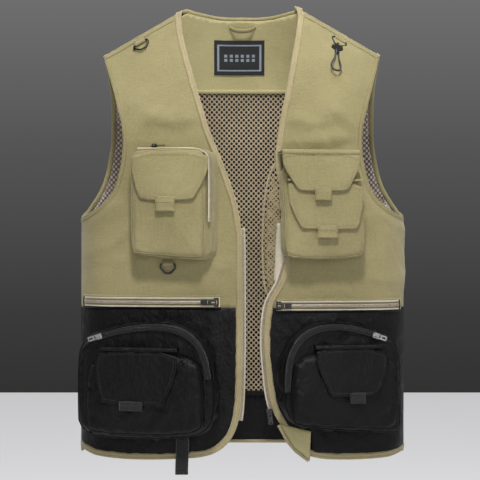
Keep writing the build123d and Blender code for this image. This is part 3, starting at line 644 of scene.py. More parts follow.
def cloth(name, dark, mid, light, rough=0.85, sheen=0.25, sheen_rough=0.5, thread=0.0007, weave=0.5, crease=0.35, crease_scale=26, spec=0.25, tint=(1, 1, 1)):
    """Woven cloth: two thread directions, uneven dye, small creases."""
    m, nt, b = new_mat(name)
    c = nt.nodes.new("ShaderNodeTexCoord").outputs["Object"]
    sc = 1.0 / thread / 3.1416 / 2 * 1.0
    wx, wz, wy = wave_node(nt, c, sc, "X"), wave_node(nt, c, sc, "Z"), wave_node(nt, c, sc, "Y")
    cross = math_node(nt, "MULTIPLY", math_node(nt, "ADD", wx, math_node(nt, "MULTIPLY", wy, 0.5)), wz)
    big = noise_node(nt, c, 9, 3)
    fine = noise_node(nt, c, 420, 2, 0.7)
    slub = noise_node(nt, c, 60, 3, 0.6, (1, 1, 9))
    fac = math_node(nt, "ADD", math_node(nt, "MULTIPLY", big, 0.42), math_node(nt, "MULTIPLY", fine, 0.34))
    fac = math_node(nt, "ADD", fac, math_node(nt, "MULTIPLY", slub, 0.16))
    fac = math_node(nt, "ADD", fac, math_node(nt, "MULTIPLY", cross, 0.08))
    col = ramp(nt, fac, [(0.32, dark), (0.5, mid), (0.68, light)])
    nt.links.new(col, b.inputs["Base Color"])
    b.inputs["Roughness"].default_value = rough
    b.inputs["Specular IOR Level"].default_value = spec
    b.inputs["Sheen Weight"].default_value = sheen
    b.inputs["Sheen Roughness"].default_value = sheen_rough
    b.inputs["Sheen Tint"].default_value = (*tint, 1)
    cr = noise_node(nt, c, crease_scale, 4, 0.62, (1.0, 1.0, 0.75))
    cr2 = noise_node(nt, c, crease_scale * 3.2, 3, 0.6)
    bump_chain(nt, b, [(cr, crease, 0.006), (cr2, crease * 0.5, 0.0016), (cross, weave, 0.0003), (fine, 0.12, 0.0003)])
    return m


def metal(name, base, rough, edge=0.35):
    m, nt, b = new_mat(name)
    c = nt.nodes.new("ShaderNodeTexCoord").outputs["Object"]
    n = noise_node(nt, c, 260, 3)
    k = noise_node(nt, c, 1400, 2)
    lighter = tuple(min(1, v * (1 + edge)) for v in base)
    darker = tuple(v * (1 - edge * 0.6) for v in base)
    nt.links.new(ramp(nt, n, [(0.35, darker), (0.7, lighter)]), b.inputs["Base Color"])
    b.inputs["Metallic"].default_value = 1.0
    r = ramp(nt, k, [(0.3, (rough * 0.8,) * 3), (0.7, (min(1, rough * 1.3),) * 3)])
    nt.links.new(r, b.inputs["Roughness"])
    bump_chain(nt, b, [(k, 0.12, 0.0002)])
    return m


KHAKI = cloth("khaki_cloth", (0.200, 0.172, 0.080), (0.265, 0.230, 0.112), (0.325, 0.284, 0.145), tint=(1, 0.97, 0.85), crease=0.30)
# the facing is the same khaki, made paler to stand in for light on the shaded inside: painted light
KHAKI_FACING_PAINTED_LIGHT = cloth("khaki_facing_painted_light", (0.36, 0.315, 0.152), (0.45, 0.40, 0.202), (0.53, 0.47, 0.25), tint=(1, 0.97, 0.85), crease=0.25)
BINDING = cloth("khaki_binding", (0.250, 0.205, 0.105), (0.335, 0.280, 0.155), (0.425, 0.365, 0.215), thread=0.0009, weave=0.8, crease=0.2, crease_scale=90)
BLACK = cloth("black_cloth", (0.0014, 0.0013, 0.0015), (0.0030, 0.0028, 0.0032), (0.0062, 0.0059, 0.0064), rough=0.46, sheen=0.0, sheen_rough=0.4, crease=1.0, crease_scale=30, spec=0.17)
WEBBING = cloth("black_webbing", (0.004, 0.004, 0.0045), (0.008, 0.008, 0.0085), (0.014, 0.014, 0.015), rough=0.7, thread=0.0013, weave=1.0, crease=0.05)
POCKETING = cloth("pocketing", (0.30, 0.27, 0.16), (0.36, 0.33, 0.20), (0.42, 0.39, 0.25), crease=0.4)
TAPE = cloth("zip_tape", (0.46, 0.405, 0.31), (0.56, 0.50, 0.39), (0.66, 0.60, 0.49), thread=0.0006, weave=0.7, crease=0.06)
TAPE_PALE = cloth("zip_tape_edge", (0.40, 0.355, 0.260), (0.50, 0.455, 0.350), (0.60, 0.56, 0.45), thread=0.0006, weave=0.7, crease=0.05)
BLACK_TAPE = cloth("black_tape", (0.004, 0.004, 0.0045), (0.007, 0.007, 0.0075), (0.012, 0.012, 0.013), rough=0.75, weave=0.8, crease=0.05)
THREAD = cloth("khaki_thread", (0.15, 0.128, 0.062), (0.20, 0.172, 0.086), (0.26, 0.226, 0.118), thread=0.0004, weave=0.6, crease=0.0)
THREAD_DARK = cloth("black_thread", (0.010, 0.010, 0.011), (0.018, 0.018, 0.019), (0.030, 0.030, 0.032), thread=0.0004, weave=0.6, crease=0.0, rough=0.6)
SEAM_THREAD = cloth("seam_thread", (0.105, 0.088, 0.042), (0.145, 0.122, 0.060), (0.19, 0.165, 0.085), thread=0.0004, weave=0.6, crease=0.0)
BARTACK = cloth("bartack_thread", (0.008, 0.007, 0.006), (0.015, 0.013, 0.012), (0.026, 0.023, 0.020), thread=0.0005, weave=1.0, crease=0.0)
# a darker copy of the net for its parts near the armholes: painted shade, the net seen against the light behind it
NET_PAINTED_SHADE_AT_ARMHOLES = cloth("net_painted_shade_at_armholes", (0.115, 0.078, 0.058), (0.165, 0.115, 0.086), (0.23, 0.165, 0.125), thread=0.0006, weave=0.5, crease=0.0, sheen=0.1)
NET = cloth("net", (0.31, 0.25, 0.165), (0.40, 0.325, 0.22), (0.49, 0.41, 0.29), thread=0.0006, weave=0.5, crease=0.0, sheen=0.3)
LABEL = cloth("label_ground", (0.005, 0.006, 0.008), (0.009, 0.010, 0.013), (0.015, 0.017, 0.021), rough=0.5, thread=0.0005, weave=0.6, crease=0.06, spec=0.4)
LABEL_PALE = cloth("label_pattern", (0.20, 0.235, 0.28), (0.30, 0.345, 0.40), (0.42, 0.46, 0.51), rough=0.55, thread=0.0005, weave=0.6, crease=0.05)
GUNMETAL = metal("gunmetal", (0.075, 0.072, 0.070), 0.26)
NICKEL = metal("nickel", (0.50, 0.49, 0.47), 0.30)
TEETH = metal("zip_teeth", (0.36, 0.31, 0.24), 0.45)
TEETH.node_tree.nodes["Principled BSDF"].inputs["Metallic"].default_value = 0.35


def plastic(name, base, rough):
    m, nt, b = new_mat(name)
    c = nt.nodes.new("ShaderNodeTexCoord").outputs["Object"]
    n = noise_node(nt, c, 900, 3)
    nt.links.new(ramp(nt, n, [(0.3, tuple(v * 0.8 for v in base)), (0.7, tuple(v * 1.3 for v in base))]), b.inputs["Base Color"])
    b.inputs["Roughness"].default_value = rough
    bump_chain(nt, b, [(n, 0.2, 0.0002)])
    return m


PLASTIC = plastic("black_plastic", (0.010, 0.010, 0.011), 0.38)


def braid(name):
    m, nt, b = new_mat(name)
    c = nt.nodes.new("ShaderNodeTexCoord").outputs["Object"]
    w1 = nt.nodes.new("ShaderNodeTexWave")
    w1.wave_type, w1.bands_direction = "BANDS", "DIAGONAL"
    w1.inputs["Scale"].default_value = 330
    nt.links.new(c, w1.inputs["Vector"])
    n = noise_node(nt, c, 500, 2)
    f = math_node(nt, "MULTIPLY", w1.outputs["Fac"], n)
    nt.links.new(ramp(nt, f, [(0.1, (0.004, 0.004, 0.0045)), (0.6, (0.018, 0.018, 0.019))]), b.inputs["Base Color"])
    b.inputs["Roughness"].default_value = 0.7
    b.inputs["Sheen Weight"].default_value = 0.3
    bump_chain(nt, b, [(w1.outputs["Fac"], 0.8, 0.0004)])
    return m


CORD = braid("black_cord")

# ------------------------------------------------------------------ outlines, front view (metres)
R_EDGE = [(-0.08851, 0.04681), (-0.09591, 0.03109), (-0.09317, -0.00621), (-0.07654, -0.06753), (-0.06553, -0.10530), (-0.05028, -0.15719), (-0.03226, -0.20077), (-0.01725, -0.23979), (-0.00675, -0.27430), (-0.00165, -0.30880), (0.00015, -0.32680), (0.00000, -0.42730), (0.00000, -0.49630), (-0.00165, -0.56530), (-0.00525, -0.59530), (-0.01125, -0.61331), (-0.02025, -0.62833), (-0.03376, -0.64040), (-0.04878, -0.64801), (-0.07586, -0.65280), (-0.17156, -0.65641), (-0.22482, -0.65160)]
R_ARM = [(-0.23519, 0.02022), (-0.21691, -0.03781), (-0.19748, -0.09426), (-0.18927, -0.12644), (-0.18325, -0.14747), (-0.18079, -0.17551), (-0.18264, -0.20121), (-0.18757, -0.22386), (-0.19375, -0.24501), (-0.20398, -0.26009), (-0.21345, -0.26910), (-0.22649, -0.27803), (-0.23863, -0.28465), (-0.25160, -0.28940)]
L_EDGE = [(0.08007, 0.04681), (0.08759, 0.03035), (0.08319, -0.00680), (0.07543, -0.04514), (0.06560, -0.10066), (0.05632, -0.14210), (0.05029, -0.18721), (0.04878, -0.19772), (0.05029, -0.22023), (0.05630, -0.24423), (0.06081, -0.27275), (0.06232, -0.29677), (0.06458, -0.32680), (0.06382, -0.35834), (0.05480, -0.38985), (0.03827, -0.41384), (0.03301, -0.44083), (0.03151, -0.47834), (0.03451, -0.51736), (0.03902, -0.55789), (0.04653, -0.58495), (0.05630, -0.60003), (0.07436, -0.63250), (0.10305, -0.65323), (0.17009, -0.65636), (0.22496, -0.65390)]
L_ARM = [(0.23550, 0.02022), (0.21443, -0.03623), (0.19764, -0.09426), (0.18936, -0.12644), (0.18332, -0.14747), (0.18086, -0.17551), (0.18271, -0.20121), (0.18764, -0.22386), (0.19383, -0.24501), (0.20407, -0.26009), (0.21355, -0.26909), (0.22663, -0.27803), (0.23884, -0.28465), (0.25192, -0.28940)]
NECK = [(-0.09288, 0.09059), (-0.08517, 0.03694), (-0.06204, 0.03303), (-0.03388, 0.02882), (0.00023, 0.02907), (0.03115, 0.02868), (0.05311, 0.03060), (0.07322, 0.03498), (0.08548, 0.03719), (0.09320, 0.09059)]
BR_ARM = [(-0.23519, 0.02022), (-0.21714, -0.03750), (-0.20960, -0.08517), (-0.20949, -0.11550), (-0.21065, -0.16935), (-0.21435, -0.19198), (-0.21892, -0.21782), (-0.22493, -0.23725), (-0.23441, -0.25676), (-0.24399, -0.27306), (-0.25160, -0.28627)]
BL_ARM = [(0.23550, 0.02022), (0.21535, -0.03740), (0.21004, -0.08519), (0.20999, -0.11551), (0.21117, -0.16937), (0.21486, -0.19199), (0.21942, -0.21783), (0.22541, -0.23726), (0.23484, -0.25677), (0.24434, -0.27307), (0.25192, -0.28627)]
R_OUT, L_OUT = (-0.2509, -0.64), (0.2509, -0.64)


def side_end(pts, sgn):
    """The line carried to the side seam."""
    p = [tuple(v) for v in pts]
    last = p[-1]
    p[-1] = (sgn * 0.2509, last[1])
    return p


r_edge = smooth_line(on_front(R_EDGE), 2)
l_edge = smooth_line(on_front(L_EDGE), 2)
r_edge = np.concatenate([r_edge, [(-0.2509, r_edge[-1][1] + 0.008)]])
l_edge = np.concatenate([l_edge, [(0.2509, l_edge[-1][1] + 0.006)]])
r_arm = smooth_line(on_front(side_end(R_ARM, -1)), 2)
l_arm = smooth_line(on_front(side_end(L_ARM, 1)), 2)
neck = smooth_line(on_front(NECK), 2)
br_arm = smooth_line(on_front(side_end(BR_ARM, -1)), 2)
bl_arm = smooth_line(on_front(side_end(BL_ARM, 1)), 2)
# both sides of each armhole and neckline meet at the fold and at the side
neck[0], neck[-1] = r_edge[0], l_edge[0]
for a, b in ((r_arm, br_arm), (l_arm, bl_arm)):
    mid = (a[0] + b[0]) / 2
    a[0] = b[0] = mid
    b[-1] = a[-1]

RIGHT = [tuple(v) for v in r_edge] + [tuple(v) for v in r_arm[::-1]]
LEFT = [tuple(v) for v in l_edge] + [tuple(v) for v in l_arm[::-1]]
BACK = [tuple(v) for v in neck] + [tuple(v) for v in bl_arm] + [(0.2509, BACK_HEM), (-0.2509, BACK_HEM)] + [tuple(v) for v in br_arm[::-1]]


def seam_poly(poly, drop, keep_below=True):
    """Cuts an outline along a line parallel to the shoulder fold."""
    out = []
    f = lambda p: (RIDGE - drop - SLOPE * float(soft_abs(np.array([p[0]]))[0])) - p[1]
    n = len(poly)
    for i in range(n):
        a, b = poly[i], poly[(i + 1) % n]
        fa, fb = f(a), f(b)
        ia, ib = (fa >= 0) == keep_below, (fb >= 0) == keep_below
        if ia:
            out.append(tuple(a))
        if ia != ib:
            t = fa / (fa - fb)
            out.append(tuple(a[k] + (b[k] - a[k]) * t for k in range(2)))
    return out


# ------------------------------------------------------------------ relief of the cloth
def drape_khaki(seed, sgn):
    def f(x, z, s, q):
        d = 0.0034 * vnoise(s / 0.075 + seed, q / 0.15, seed)
        d += 0.0024 * crumple(s, q, 0.050, seed + 2, 0.5 * sgn, 2.4)
        d += 0.0009 * crumple(s, q, 0.020, seed + 5, -0.7 * sgn, 1.8)
        # pulls from the armhole towards the chest pocket
        ax, az = sgn * 0.19, -0.17
        r = np.hypot(x - ax, z - az)
        ang = np.arctan2(z - az, (x - ax) * sgn)
        d += 0.0019 * np.sin(ang * 9 + seed) * np.exp(-((r - 0.07) / 0.05) ** 2)
        # soft folds that sag above the chest pocket
        for fx, fz, fw, fh, fa in ((0.105, 0.030, 0.026, 0.007, 0.0042), (0.074, 0.034, 0.016, 0.006, 0.0030), (0.135, 0.046, 0.018, 0.009, 0.0026)):
            cx, cz = sgn * fx * 1.08, -0.178 + fz
            dz = z - cz - 0.10 * (x - cx) * sgn
            d += fa * np.exp(-((x - cx) / fw) ** 2) * np.exp(-(np.where(dz > 0, dz / (2.2 * fh), dz / fh)) ** 2)
        # gathers above the waist zip
        g = np.exp(-((z + 0.405) / 0.03) ** 2)
        d += 0.0008 * g * vnoise(s / 0.014, q / 0.08, seed + 8)
        g = 1 - 0.92 * np.exp(-((z + (0.4173 if sgn < 0 else 0.4226)) / 0.016) ** 2)
        return d * g
    return f


def drape_black(seed, sgn):
    def f(x, z, s, q):
        d = 0.0026 * vnoise(s / 0.05 + seed, q / 0.10, seed)
        d += 0.0020 * crumple(s, q, 0.040, seed + 2, 0.9 * sgn, 1.9)
        d += 0.0007 * crumple(s, q, 0.017, seed + 5, -0.4 * sgn, 1.6)
        g = np.exp(-np.maximum(z + 0.69, 0) / 0.03)
        d += 0.0014 * g * np.sin(s / 0.0075 + 2 * vnoise(s / 0.03, q / 0.05, seed + 9))
        return d
    return f


EDGE_SECTION = [(0.0, -0.0006), (0.0004, 0.0006), (0.0016, 0.0012), (0.0034, 0.0012), (0.0044, 0.00065), (0.0054, 0.0013), (0.0074, 0.0013), (0.0092, 0.0009), (0.0098, 0.0001), (0.0098, -0.0022), (0.0086, -0.0032), (0.004, -0.0034), (0.0012, -0.0030), (0.0, -0.0020)]
TURN_SECTION = [(0.0, -0.0004), (0.0003, 0.0005), (0.0012, 0.0009), (0.0050, 0.0009), (0.0066, 0.0008), (0.0076, 0.0002), (0.0076, -0.0020), (0.0066, -0.0028), (0.003, -0.0030), (0.0006, -0.0024)]

for tag, sgn, region, edge, arm, body in (("right", -1, RIGHT, r_edge, r_arm, "right_front"), ("left", 1, LEFT, l_edge, l_arm, "left_front")):
    shell = inset(region, 0.0012)
    upper = clip_poly(shell, 1, COLOUR_Z, True)
    upper = seam_poly(upper, 0.009, True)
    inner_edge = shift_line(edge, 0.0125 * (1 if tag == "left" else -1) * -1)
    up = body_sheet(tag + "_front_upper", upper, True, 0.0, 0.0011, KHAKI, 0.0052, drape_khaki(3 if sgn < 0 else 11, sgn), dents=[(shift_line(arm, -0.0066 * sgn * -1), 0.0005, 0.0012)])
    declare(up)
    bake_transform(up)
    keep(up, None, (tag + "_shoulder_panel", tag + "_front_upper_panel"))
    low_poly = clip_poly(shell, 1, COLOUR_Z, False)
    if tag == "left":
        # the folded corner shows its facing, so the black cloth ends at the fold line
        a, b = (0.05480, -0.59927), (0.10230, -0.61110)
        c = (0.10078, -0.65770)
        keep_pts = []
        corner = np.array([a, b, c, (a[0] - 0.03, c[1])])
        low_poly = [p for p in low_poly if not inside(np.array([p]), corner)[0]]
        # put the fold's corner points in where the outline was cut
        best = min(range(len(low_poly)), key=lambda i: (low_poly[i][0] - a[0]) ** 2 + (low_poly[i][1] - a[1]) ** 2)
        nxt = (best + 1) % len(low_poly)
        prv = best - 1
        order = [a, b, c]
        if (low_poly[nxt][0] - c[0]) ** 2 + (low_poly[nxt][1] - c[1]) ** 2 > (low_poly[prv][0] - c[0]) ** 2 + (low_poly[prv][1] - c[1]) ** 2:
            low_poly = low_poly[:best] + [c, b, a] + low_poly[best:]
        else:
            low_poly = low_poly[: best + 1] + [a, b, c] + low_poly[best + 1:]
    low = body_sheet(tag + "_front_lower", low_poly, True, 0.0, 0.0011, BLACK, 0.0050, drape_black(21 if sgn < 0 else 33, sgn))
    declare(low)
    keep(low, body, (tag + "_front_lower_panel",))
    band = edge_band(tag + "_front_edge_binding", edge, EDGE_SECTION, BINDING, True, wobble=1.0, seed=4 + sgn, region=region)
    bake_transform(band)
    keep(band, None, (tag + "_front_binding",))
    turn = edge_band(tag + "_armhole_edge", arm, TURN_SECTION, KHAKI, True, wobble=0.8, seed=7 + sgn, region=region)
    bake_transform(turn)
    keep(turn, None)

# back shell, with the strip that comes over the shoulders to the seam
def back_points():
    """The back outline in the surface's own coordinates, carried over the fold to the shoulder seams."""
    q_seam = -float(q_of_t(np.array([0.009]))[0])
    pts = []
    ne = to_sq(even(neck, 0.005), False)
    lo = to_sq(even(bl_arm, 0.005), False)
    ro = to_sq(even(br_arm, 0.005), False)
    # over the fold on each shoulder, along the front outlines
    fr = lambda line: to_sq(np.array([p for p in even(line, 0.002) if RIDGE - SLOPE * abs(p[0]) - p[1] < 0.0085]), True)
    pts += [tuple(v) for v in ne]
    pts += [tuple(v) for v in fr(l_edge)]
    pts += [tuple(v) for v in fr(l_arm)[::-1]]
    pts += [tuple(v) for v in lo]
    hem = to_sq(even([(0.2509, BACK_HEM), (-0.2509, BACK_HEM)], 0.004), False)
    pts += [tuple(v) for v in hem]
    pts += [tuple(v) for v in ro[::-1]]
    pts += [tuple(v) for v in fr(r_arm)]
    pts += [tuple(v) for v in fr(r_edge)[::-1]]
    out = [pts[0]]
    for p in pts[1:]:
        if math.hypot(p[0] - out[-1][0], p[1] - out[-1][1]) > 0.0006:
            out.append(p)
    return out


def sq_sheet(name, poly, off, thick, mat, h, disp, hint, mat_in=None):
    v, tris = fill(poly, h)
    d = disp(v[:, 0], v[:, 1]) if disp is not None else np.zeros(len(v))
    d = 0.5 * (d + np.sqrt(d * d + 0.0008**2)) - 0.0002
    d = d * np.clip(line_dist(v, poly, True) / 0.016, 0, 1)
    top, nn = surf(v, off + d)
    return solid_sheet(name, top, top - nn * thick, tris, mat, hint, mat_in)


BACK_SQ = inset(back_points(), 0.0012)
q_col = float(q_of_t(np.array([RIDGE - COLOUR_Z]))[0])


def clip_q(poly, limit, above):
    """Cuts an outline in surface coordinates where the height passes a limit; z falls with both q and |s|."""
    f = lambda p: float(base_point(np.array([p[0]]), np.array([p[1]]))[0][2]) - limit
    out = []
    n = len(poly)
    for i in range(n):
        a, b = poly[i], poly[(i + 1) % n]
        fa, fb = f(a), f(b)
        if (fa >= 0) == above:
            out.append(tuple(a))
        if (fa >= 0) != (fb >= 0):
            t = fa / (fa - fb)
            out.append(tuple(a[k] + (b[k] - a[k]) * t for k in range(2)))
    return out


def split_sq(poly, limit, above):
    """Like clip_q, with the cut itself following the level line."""
    part = clip_q(poly, limit, above)
    out = []
    n = len(part)
    for i in range(n):
        a, b = part[i], part[(i + 1) % n]
        out.append(a)
        za = float(base_point(np.array([a[0]]), np.array([a[1]]))[0][2])
        zb = float(base_point(np.array([b[0]]), np.array([b[1]]))[0][2])
        if abs(za - limit) < 1e-5 and abs(zb - limit) < 1e-5 and abs(a[0] - b[0]) > 0.02:
            xa, xb = float(x_of(np.array([a[0]]))[0]), float(x_of(np.array([b[0]]))[0])
            k = int(abs(a[0] - b[0]) / 0.006)
            s_mid = np.linspace(a[0], b[0], k + 1)[1:-1]
            x_mid = x_of(s_mid)
            t = RIDGE - SLOPE * soft_abs(x_mid) - limit
            q = q_of_t(t) * (1 if a[1] >= 0 else -1)
            out += [(float(u), float(v)) for u, v in zip(s_mid, q)]
    return out


def drape_back(s, q):
    d = 0.0022 * vnoise(s / 0.09, q / 0.16, 51) + 0.0010 * crumple(s, q, 0.05, 52, 1.2, 2.0) + 0.0004 * crumple(s, q, 0.02, 55, 0.3, 1.6)
    return d * np.clip((np.abs(q) - 0.01) / 0.03, 0, 1)


def painted_shade_and_light_inside_mat():
    """The inner face of the back, with painted shade (near black in the middle) and painted light (near white towards
    the armholes, where light comes through).
    """
    m, nt, b = new_mat("back_inside_painted_shade_and_light")
    c = nt.nodes.new("ShaderNodeTexCoord").outputs["Object"]
    sep = nt.nodes.new("ShaderNodeSeparateXYZ")
    nt.links.new(c, sep.inputs[0])
    ax = math_node(nt, "ABSOLUTE", sep.outputs["X"])
    n = noise_node(nt, c, 14, 2)
    f = math_node(nt, "ADD", math_node(nt, "MULTIPLY", ax, 4.0), math_node(nt, "MULTIPLY", math_node(nt, "SUBTRACT", n, 0.5), 0.05))
    # painted shade in the middle, painted light towards the armholes, by distance from the middle
    nt.links.new(ramp(nt, f, [(0.0, (0.022, 0.019, 0.015)), (0.66, (0.030, 0.026, 0.020)), (0.72, (0.80, 0.74, 0.70)), (1.0, (0.93, 0.89, 0.86))]), b.inputs["Base Color"])
    b.inputs["Roughness"].default_value = 0.9
    return m


BACK_INSIDE_PAINTED_SHADE_AND_LIGHT = painted_shade_and_light_inside_mat()
# the back's inner face carries the painted shade and painted light
bu = sq_sheet("back_upper", split_sq(BACK_SQ, COLOUR_Z, True), 0.0, 0.0011, KHAKI, 0.0062, drape_back, (0, 1, 0.2), BACK_INSIDE_PAINTED_SHADE_AND_LIGHT)
declare(bu)
keep(bu, "vest_back", ("back_upper_panel",))
bl = sq_sheet("back_lower", split_sq(BACK_SQ, COLOUR_Z, False), 0.0, 0.0011, BLACK, 0.0060, lambda s, q: 1.5 * drape_back(s, q), (0, 1, 0))
declare(bl)
keep(bl, "vest_back", ("back_lower_panel",))

NECK_SECTION = [(0.0, -0.0012), (0.0001, 0.0004), (0.0012, 0.0013), (0.0040, 0.0014), (0.0056, 0.0008), (0.0062, -0.0002), (0.0062, -0.0028), (0.0052, -0.0042), (0.0026, -0.0046), (0.0008, -0.0036)]
nb = edge_band("neck_binding", neck, NECK_SECTION, KHAKI, False, wobble=1.6, seed=3, region=BACK)
keep(nb, "vest_back", ("back_bindings",))
for tag, arm, sd in (("right", br_arm, -1), ("left", bl_arm, 1)):
    o = edge_band(tag + "_back_armhole_edge", arm, TURN_SECTION, KHAKI, False, wobble=0.8, seed=12 + sd, region=BACK)
    keep(o, "vest_back")
HEM_SECTION = [(0.0, -0.0006), (0.0004, 0.0006), (0.0016, 0.0011), (0.0046, 0.0010), (0.0054, 0.0003), (0.0054, -0.0022), (0.0040, -0.0032), (0.0012, -0.0030)]
hem = edge_band("back_hem_binding", [(-0.2505, BACK_HEM), (0.2505, BACK_HEM)], HEM_SECTION, BINDING, False, wobble=1.0, seed=5, region=BACK)
keep(hem, "vest_back")
# the side seams, each a narrow fold on the back's edge
for tag, sgn, arm in (("right", -1, r_arm), ("left", 1, l_arm)):
    for part, z0, z1, m in (("upper", float(arm[-1][1]) - 0.004, COLOUR_Z, KHAKI), ("lower", COLOUR_Z, BACK_HEM + 0.001, BLACK)):
        zs = np.arange(z0, z1 - 0.002, -0.005)
        zs[-1] = z1
        qs = q_of_t(RIDGE - SLOPE * soft_abs(np.full(len(zs), HALF_W)) - zs)
        line = np.stack([np.full(len(zs), sgn * (SS[-1] - 0.0004)), qs], 1)
        o = edge_band(tag + "_side_seam_" + part, None, [(0.0, -0.0012), (0.0, 0.0006), (0.0010, 0.0012), (0.0052, 0.0012), (0.0064, 0.0002), (0.0060, -0.0012)], m, False, sq=line, wobble=0.5, seed=31 + sgn, side=sgn)
        keep(o, "vest_back")

# ------------------------------------------------------------------ net linings, with their real holes
def net(name, outline, front, off, mat, disp=None, px=0.0040, pz=0.00425, hole=(0.00222, 0.00244), deep=0.0006):
    sq_poly = to_sq(dense(outline, 0.006), front)
    xz = np.asarray(outline, float)
    s_lo, s_hi = sq_poly[:, 0].min(), sq_poly[:, 0].max()
    z_lo, z_hi = xz[:, 1].min(), xz[:, 1].max()
    ni, nj = int((s_hi - s_lo) / px) + 2, int((z_hi - z_lo) / pz) + 2
    dn = dense(outline, 0.0025)
    poly_sz = np.stack([s_full(dn[:, 0]), dn[:, 1]], 1)
    cells = np.array([(i, j) for i in range(ni) for j in range(nj) if (i + j) % 2 == 0])
    cen = np.stack([s_lo + cells[:, 0] * px, z_lo + cells[:, 1] * pz], 1)
    ok = inside(cen, poly_sz) & (line_dist(cen, poly_sz, True) > 0.0064)
    cells, cen = cells[ok], cen[ok]
    # outer points on a lattice of half steps, shared between cells
    ring = [(2, 0), (1, 1), (0, 2), (-1, 1), (-2, 0), (-1, -1), (0, -2), (1, -1)]
    index, pts, faces, loops = {}, [], [], []
    for (i, j), (s, z) in zip(cells, cen):
        o, inn = [], []
        for a, b in ring:
            k = (2 * i + a, 2 * j + b)
            if k not in index:
                index[k] = len(pts)
                pts.append((s + a * px / 2, z + b * pz / 2))
            o.append(index[k])
        for m in range(8):
            w = math.pi * m / 4
            inn.append(len(pts))
            pts.append((s + hole[0] * math.cos(w), z + hole[1] * math.sin(w)))
        for m in range(8):
            faces.append((o[m], o[(m + 1) % 8], inn[(m + 1) % 8], inn[m]))
        loops.append(inn)
    pts = np.array(pts)
    s = np.clip(pts[:, 0], -SS[-1], SS[-1])
    t = RIDGE - SLOPE * soft_abs(x_of(s)) - pts[:, 1]
    q = q_of_t(t) * (-1 if front else 1)
    v = np.stack([s, q], 1)
    d = np.zeros(len(v))
    if disp is not None:
        p0 = base_point(v[:, 0], v[:, 1])
        d = disp(p0[:, 0], p0[:, 2], v[:, 0], v[:, 1])
    p, n = surf(v, off + d)
    verts = list(p)
    base = len(verts)
    # the holes' walls go back a thread's thickness
    loops = [l for l in loops if abs(float(p[l[0]][0])) < 0.15]
    flat_loops = [k for l in loops for k in l]
    wall_index = {k: base + m for m, k in enumerate(flat_loops)}
    away = -1.0 if not front else -1.0
    verts += list(p[flat_loops] + n[flat_loops] * deep * (1 if not front else 1))
    for l in loops:
        for m in range(8):
            a, b = l[m], l[(m + 1) % 8]
            faces.append((a, b, wall_index[b], wall_index[a]))
    return mesh_object(name, verts, faces, mat)


YOKE_Z, NET_END = (0.00031, -0.08677)[1], (0.00032, -0.57769)[1]
net_wave = lambda x, z, s, q: -0.0012 - 0.0012 * np.abs(vnoise(s / 0.06, q / 0.09, 61)) - 0.0006 * vnoise(s / 0.02, q / 0.03, 62)
back_net_poly = clip_poly(clip_poly(BACK, 1, YOKE_Z + 0.007, False), 1, NET_END + 0.002, True)
bn = net("back_net_lining", back_net_poly, False, -0.0020, NET, net_wave)
bn.data.materials.append(NET_PAINTED_SHADE_AT_ARMHOLES)
# the net's parts near the armholes get the darker copy with painted shade
cen_x = np.zeros(len(bn.data.polygons) * 3)
bn.data.polygons.foreach_get("center", cen_x)
bn.data.polygons.foreach_set("material_index", (np.abs(cen_x.reshape(-1, 3)[:, 0]) > 0.170).astype(np.int32))
declare(bn, layers=1)
keep(bn, "vest_back", ("back_mesh_lining",))

yoke_poly = clip_poly(inset(BACK, 0.004), 1, YOKE_Z, True)
yw = lambda x, z, s, q: 0.0009 * vnoise(s / 0.05, q / 0.05, 71) + 0.0007 * crumple(s, q, 0.035, 72, 1.3, 2.0)
yv, ytris = fill(to_sq(dense(yoke_poly, 0.006), False), 0.005)
yp, yn = surf(yv, -0.0042 - 0.0006 - np.abs(yw(None, None, yv[:, 0], yv[:, 1])))
yo = solid_sheet("back_yoke_facing_cloth", yp + yn * 0.0009, yp, ytris, KHAKI_FACING_PAINTED_LIGHT, (0, 1, 0.1))
declare(yo)
keep(yo, "vest_back", ("back_yoke_facing",))
# the facing's lower edge, turned and stitched
ye = edge_band("back_yoke_facing_edge", [(-0.205, YOKE_Z), (0.205, YOKE_Z)], [(0, -0.0058), (0.0002, -0.0064), (0.006, -0.0064), (0.0066, -0.0056), (0.006, -0.0048), (0, -0.0048)], KHAKI_FACING_PAINTED_LIGHT, False, side=-1, wobble=0.6)
keep(ye, "vest_back")
# the same band closes the net's lower edge against the black cloth
ne_ = edge_band("back_net_lower_edge", [(-0.2495, NET_END + 0.002), (0.2495, NET_END + 0.002)], [(0, -0.0030), (0.0002, -0.0046), (0.0072, -0.0046), (0.0078, -0.0036), (0.007, -0.0024), (0, -0.0024)], BLACK, False, side=-1, wobble=0.6)
keep(ne_, "vest_back")

# neck label: black woven ground, a plain frame with two rows of squares, sewn on all round
LAB = [(-0.04620, -0.00302), (0.03620, -0.00261), (0.03661, -0.05681), (-0.04665, -0.05703)]
lx0, lx1, lz1, lz0 = LAB[0][0], LAB[1][0], LAB[0][1], LAB[2][1]


def lab_point(u, v, lift):
    x = lx0 + (lx1 - lx0) * u
    z = lz0 + (lz1 - lz0) * v
    sq = to_sq(np.array([(x, z)]), False)
    p, n = surf(sq, -0.0064 - lift - 0.0007 * math.sin(u * 3.14) - 0.0004 * math.sin(v * 6))
    return p[0]


def lab_patch(name, f, nu, nv, lift, mat):
    verts = [lab_point(*f(i / nu, j / nv), lift) for j in range(nv + 1) for i in range(nu + 1)]
    faces = [(j * (nu + 1) + i, j * (nu + 1) + i + 1, (j + 1) * (nu + 1) + i + 1, (j + 1) * (nu + 1) + i) for j in range(nv) for i in range(nu)]
    return mesh_object(name, verts, faces, mat)


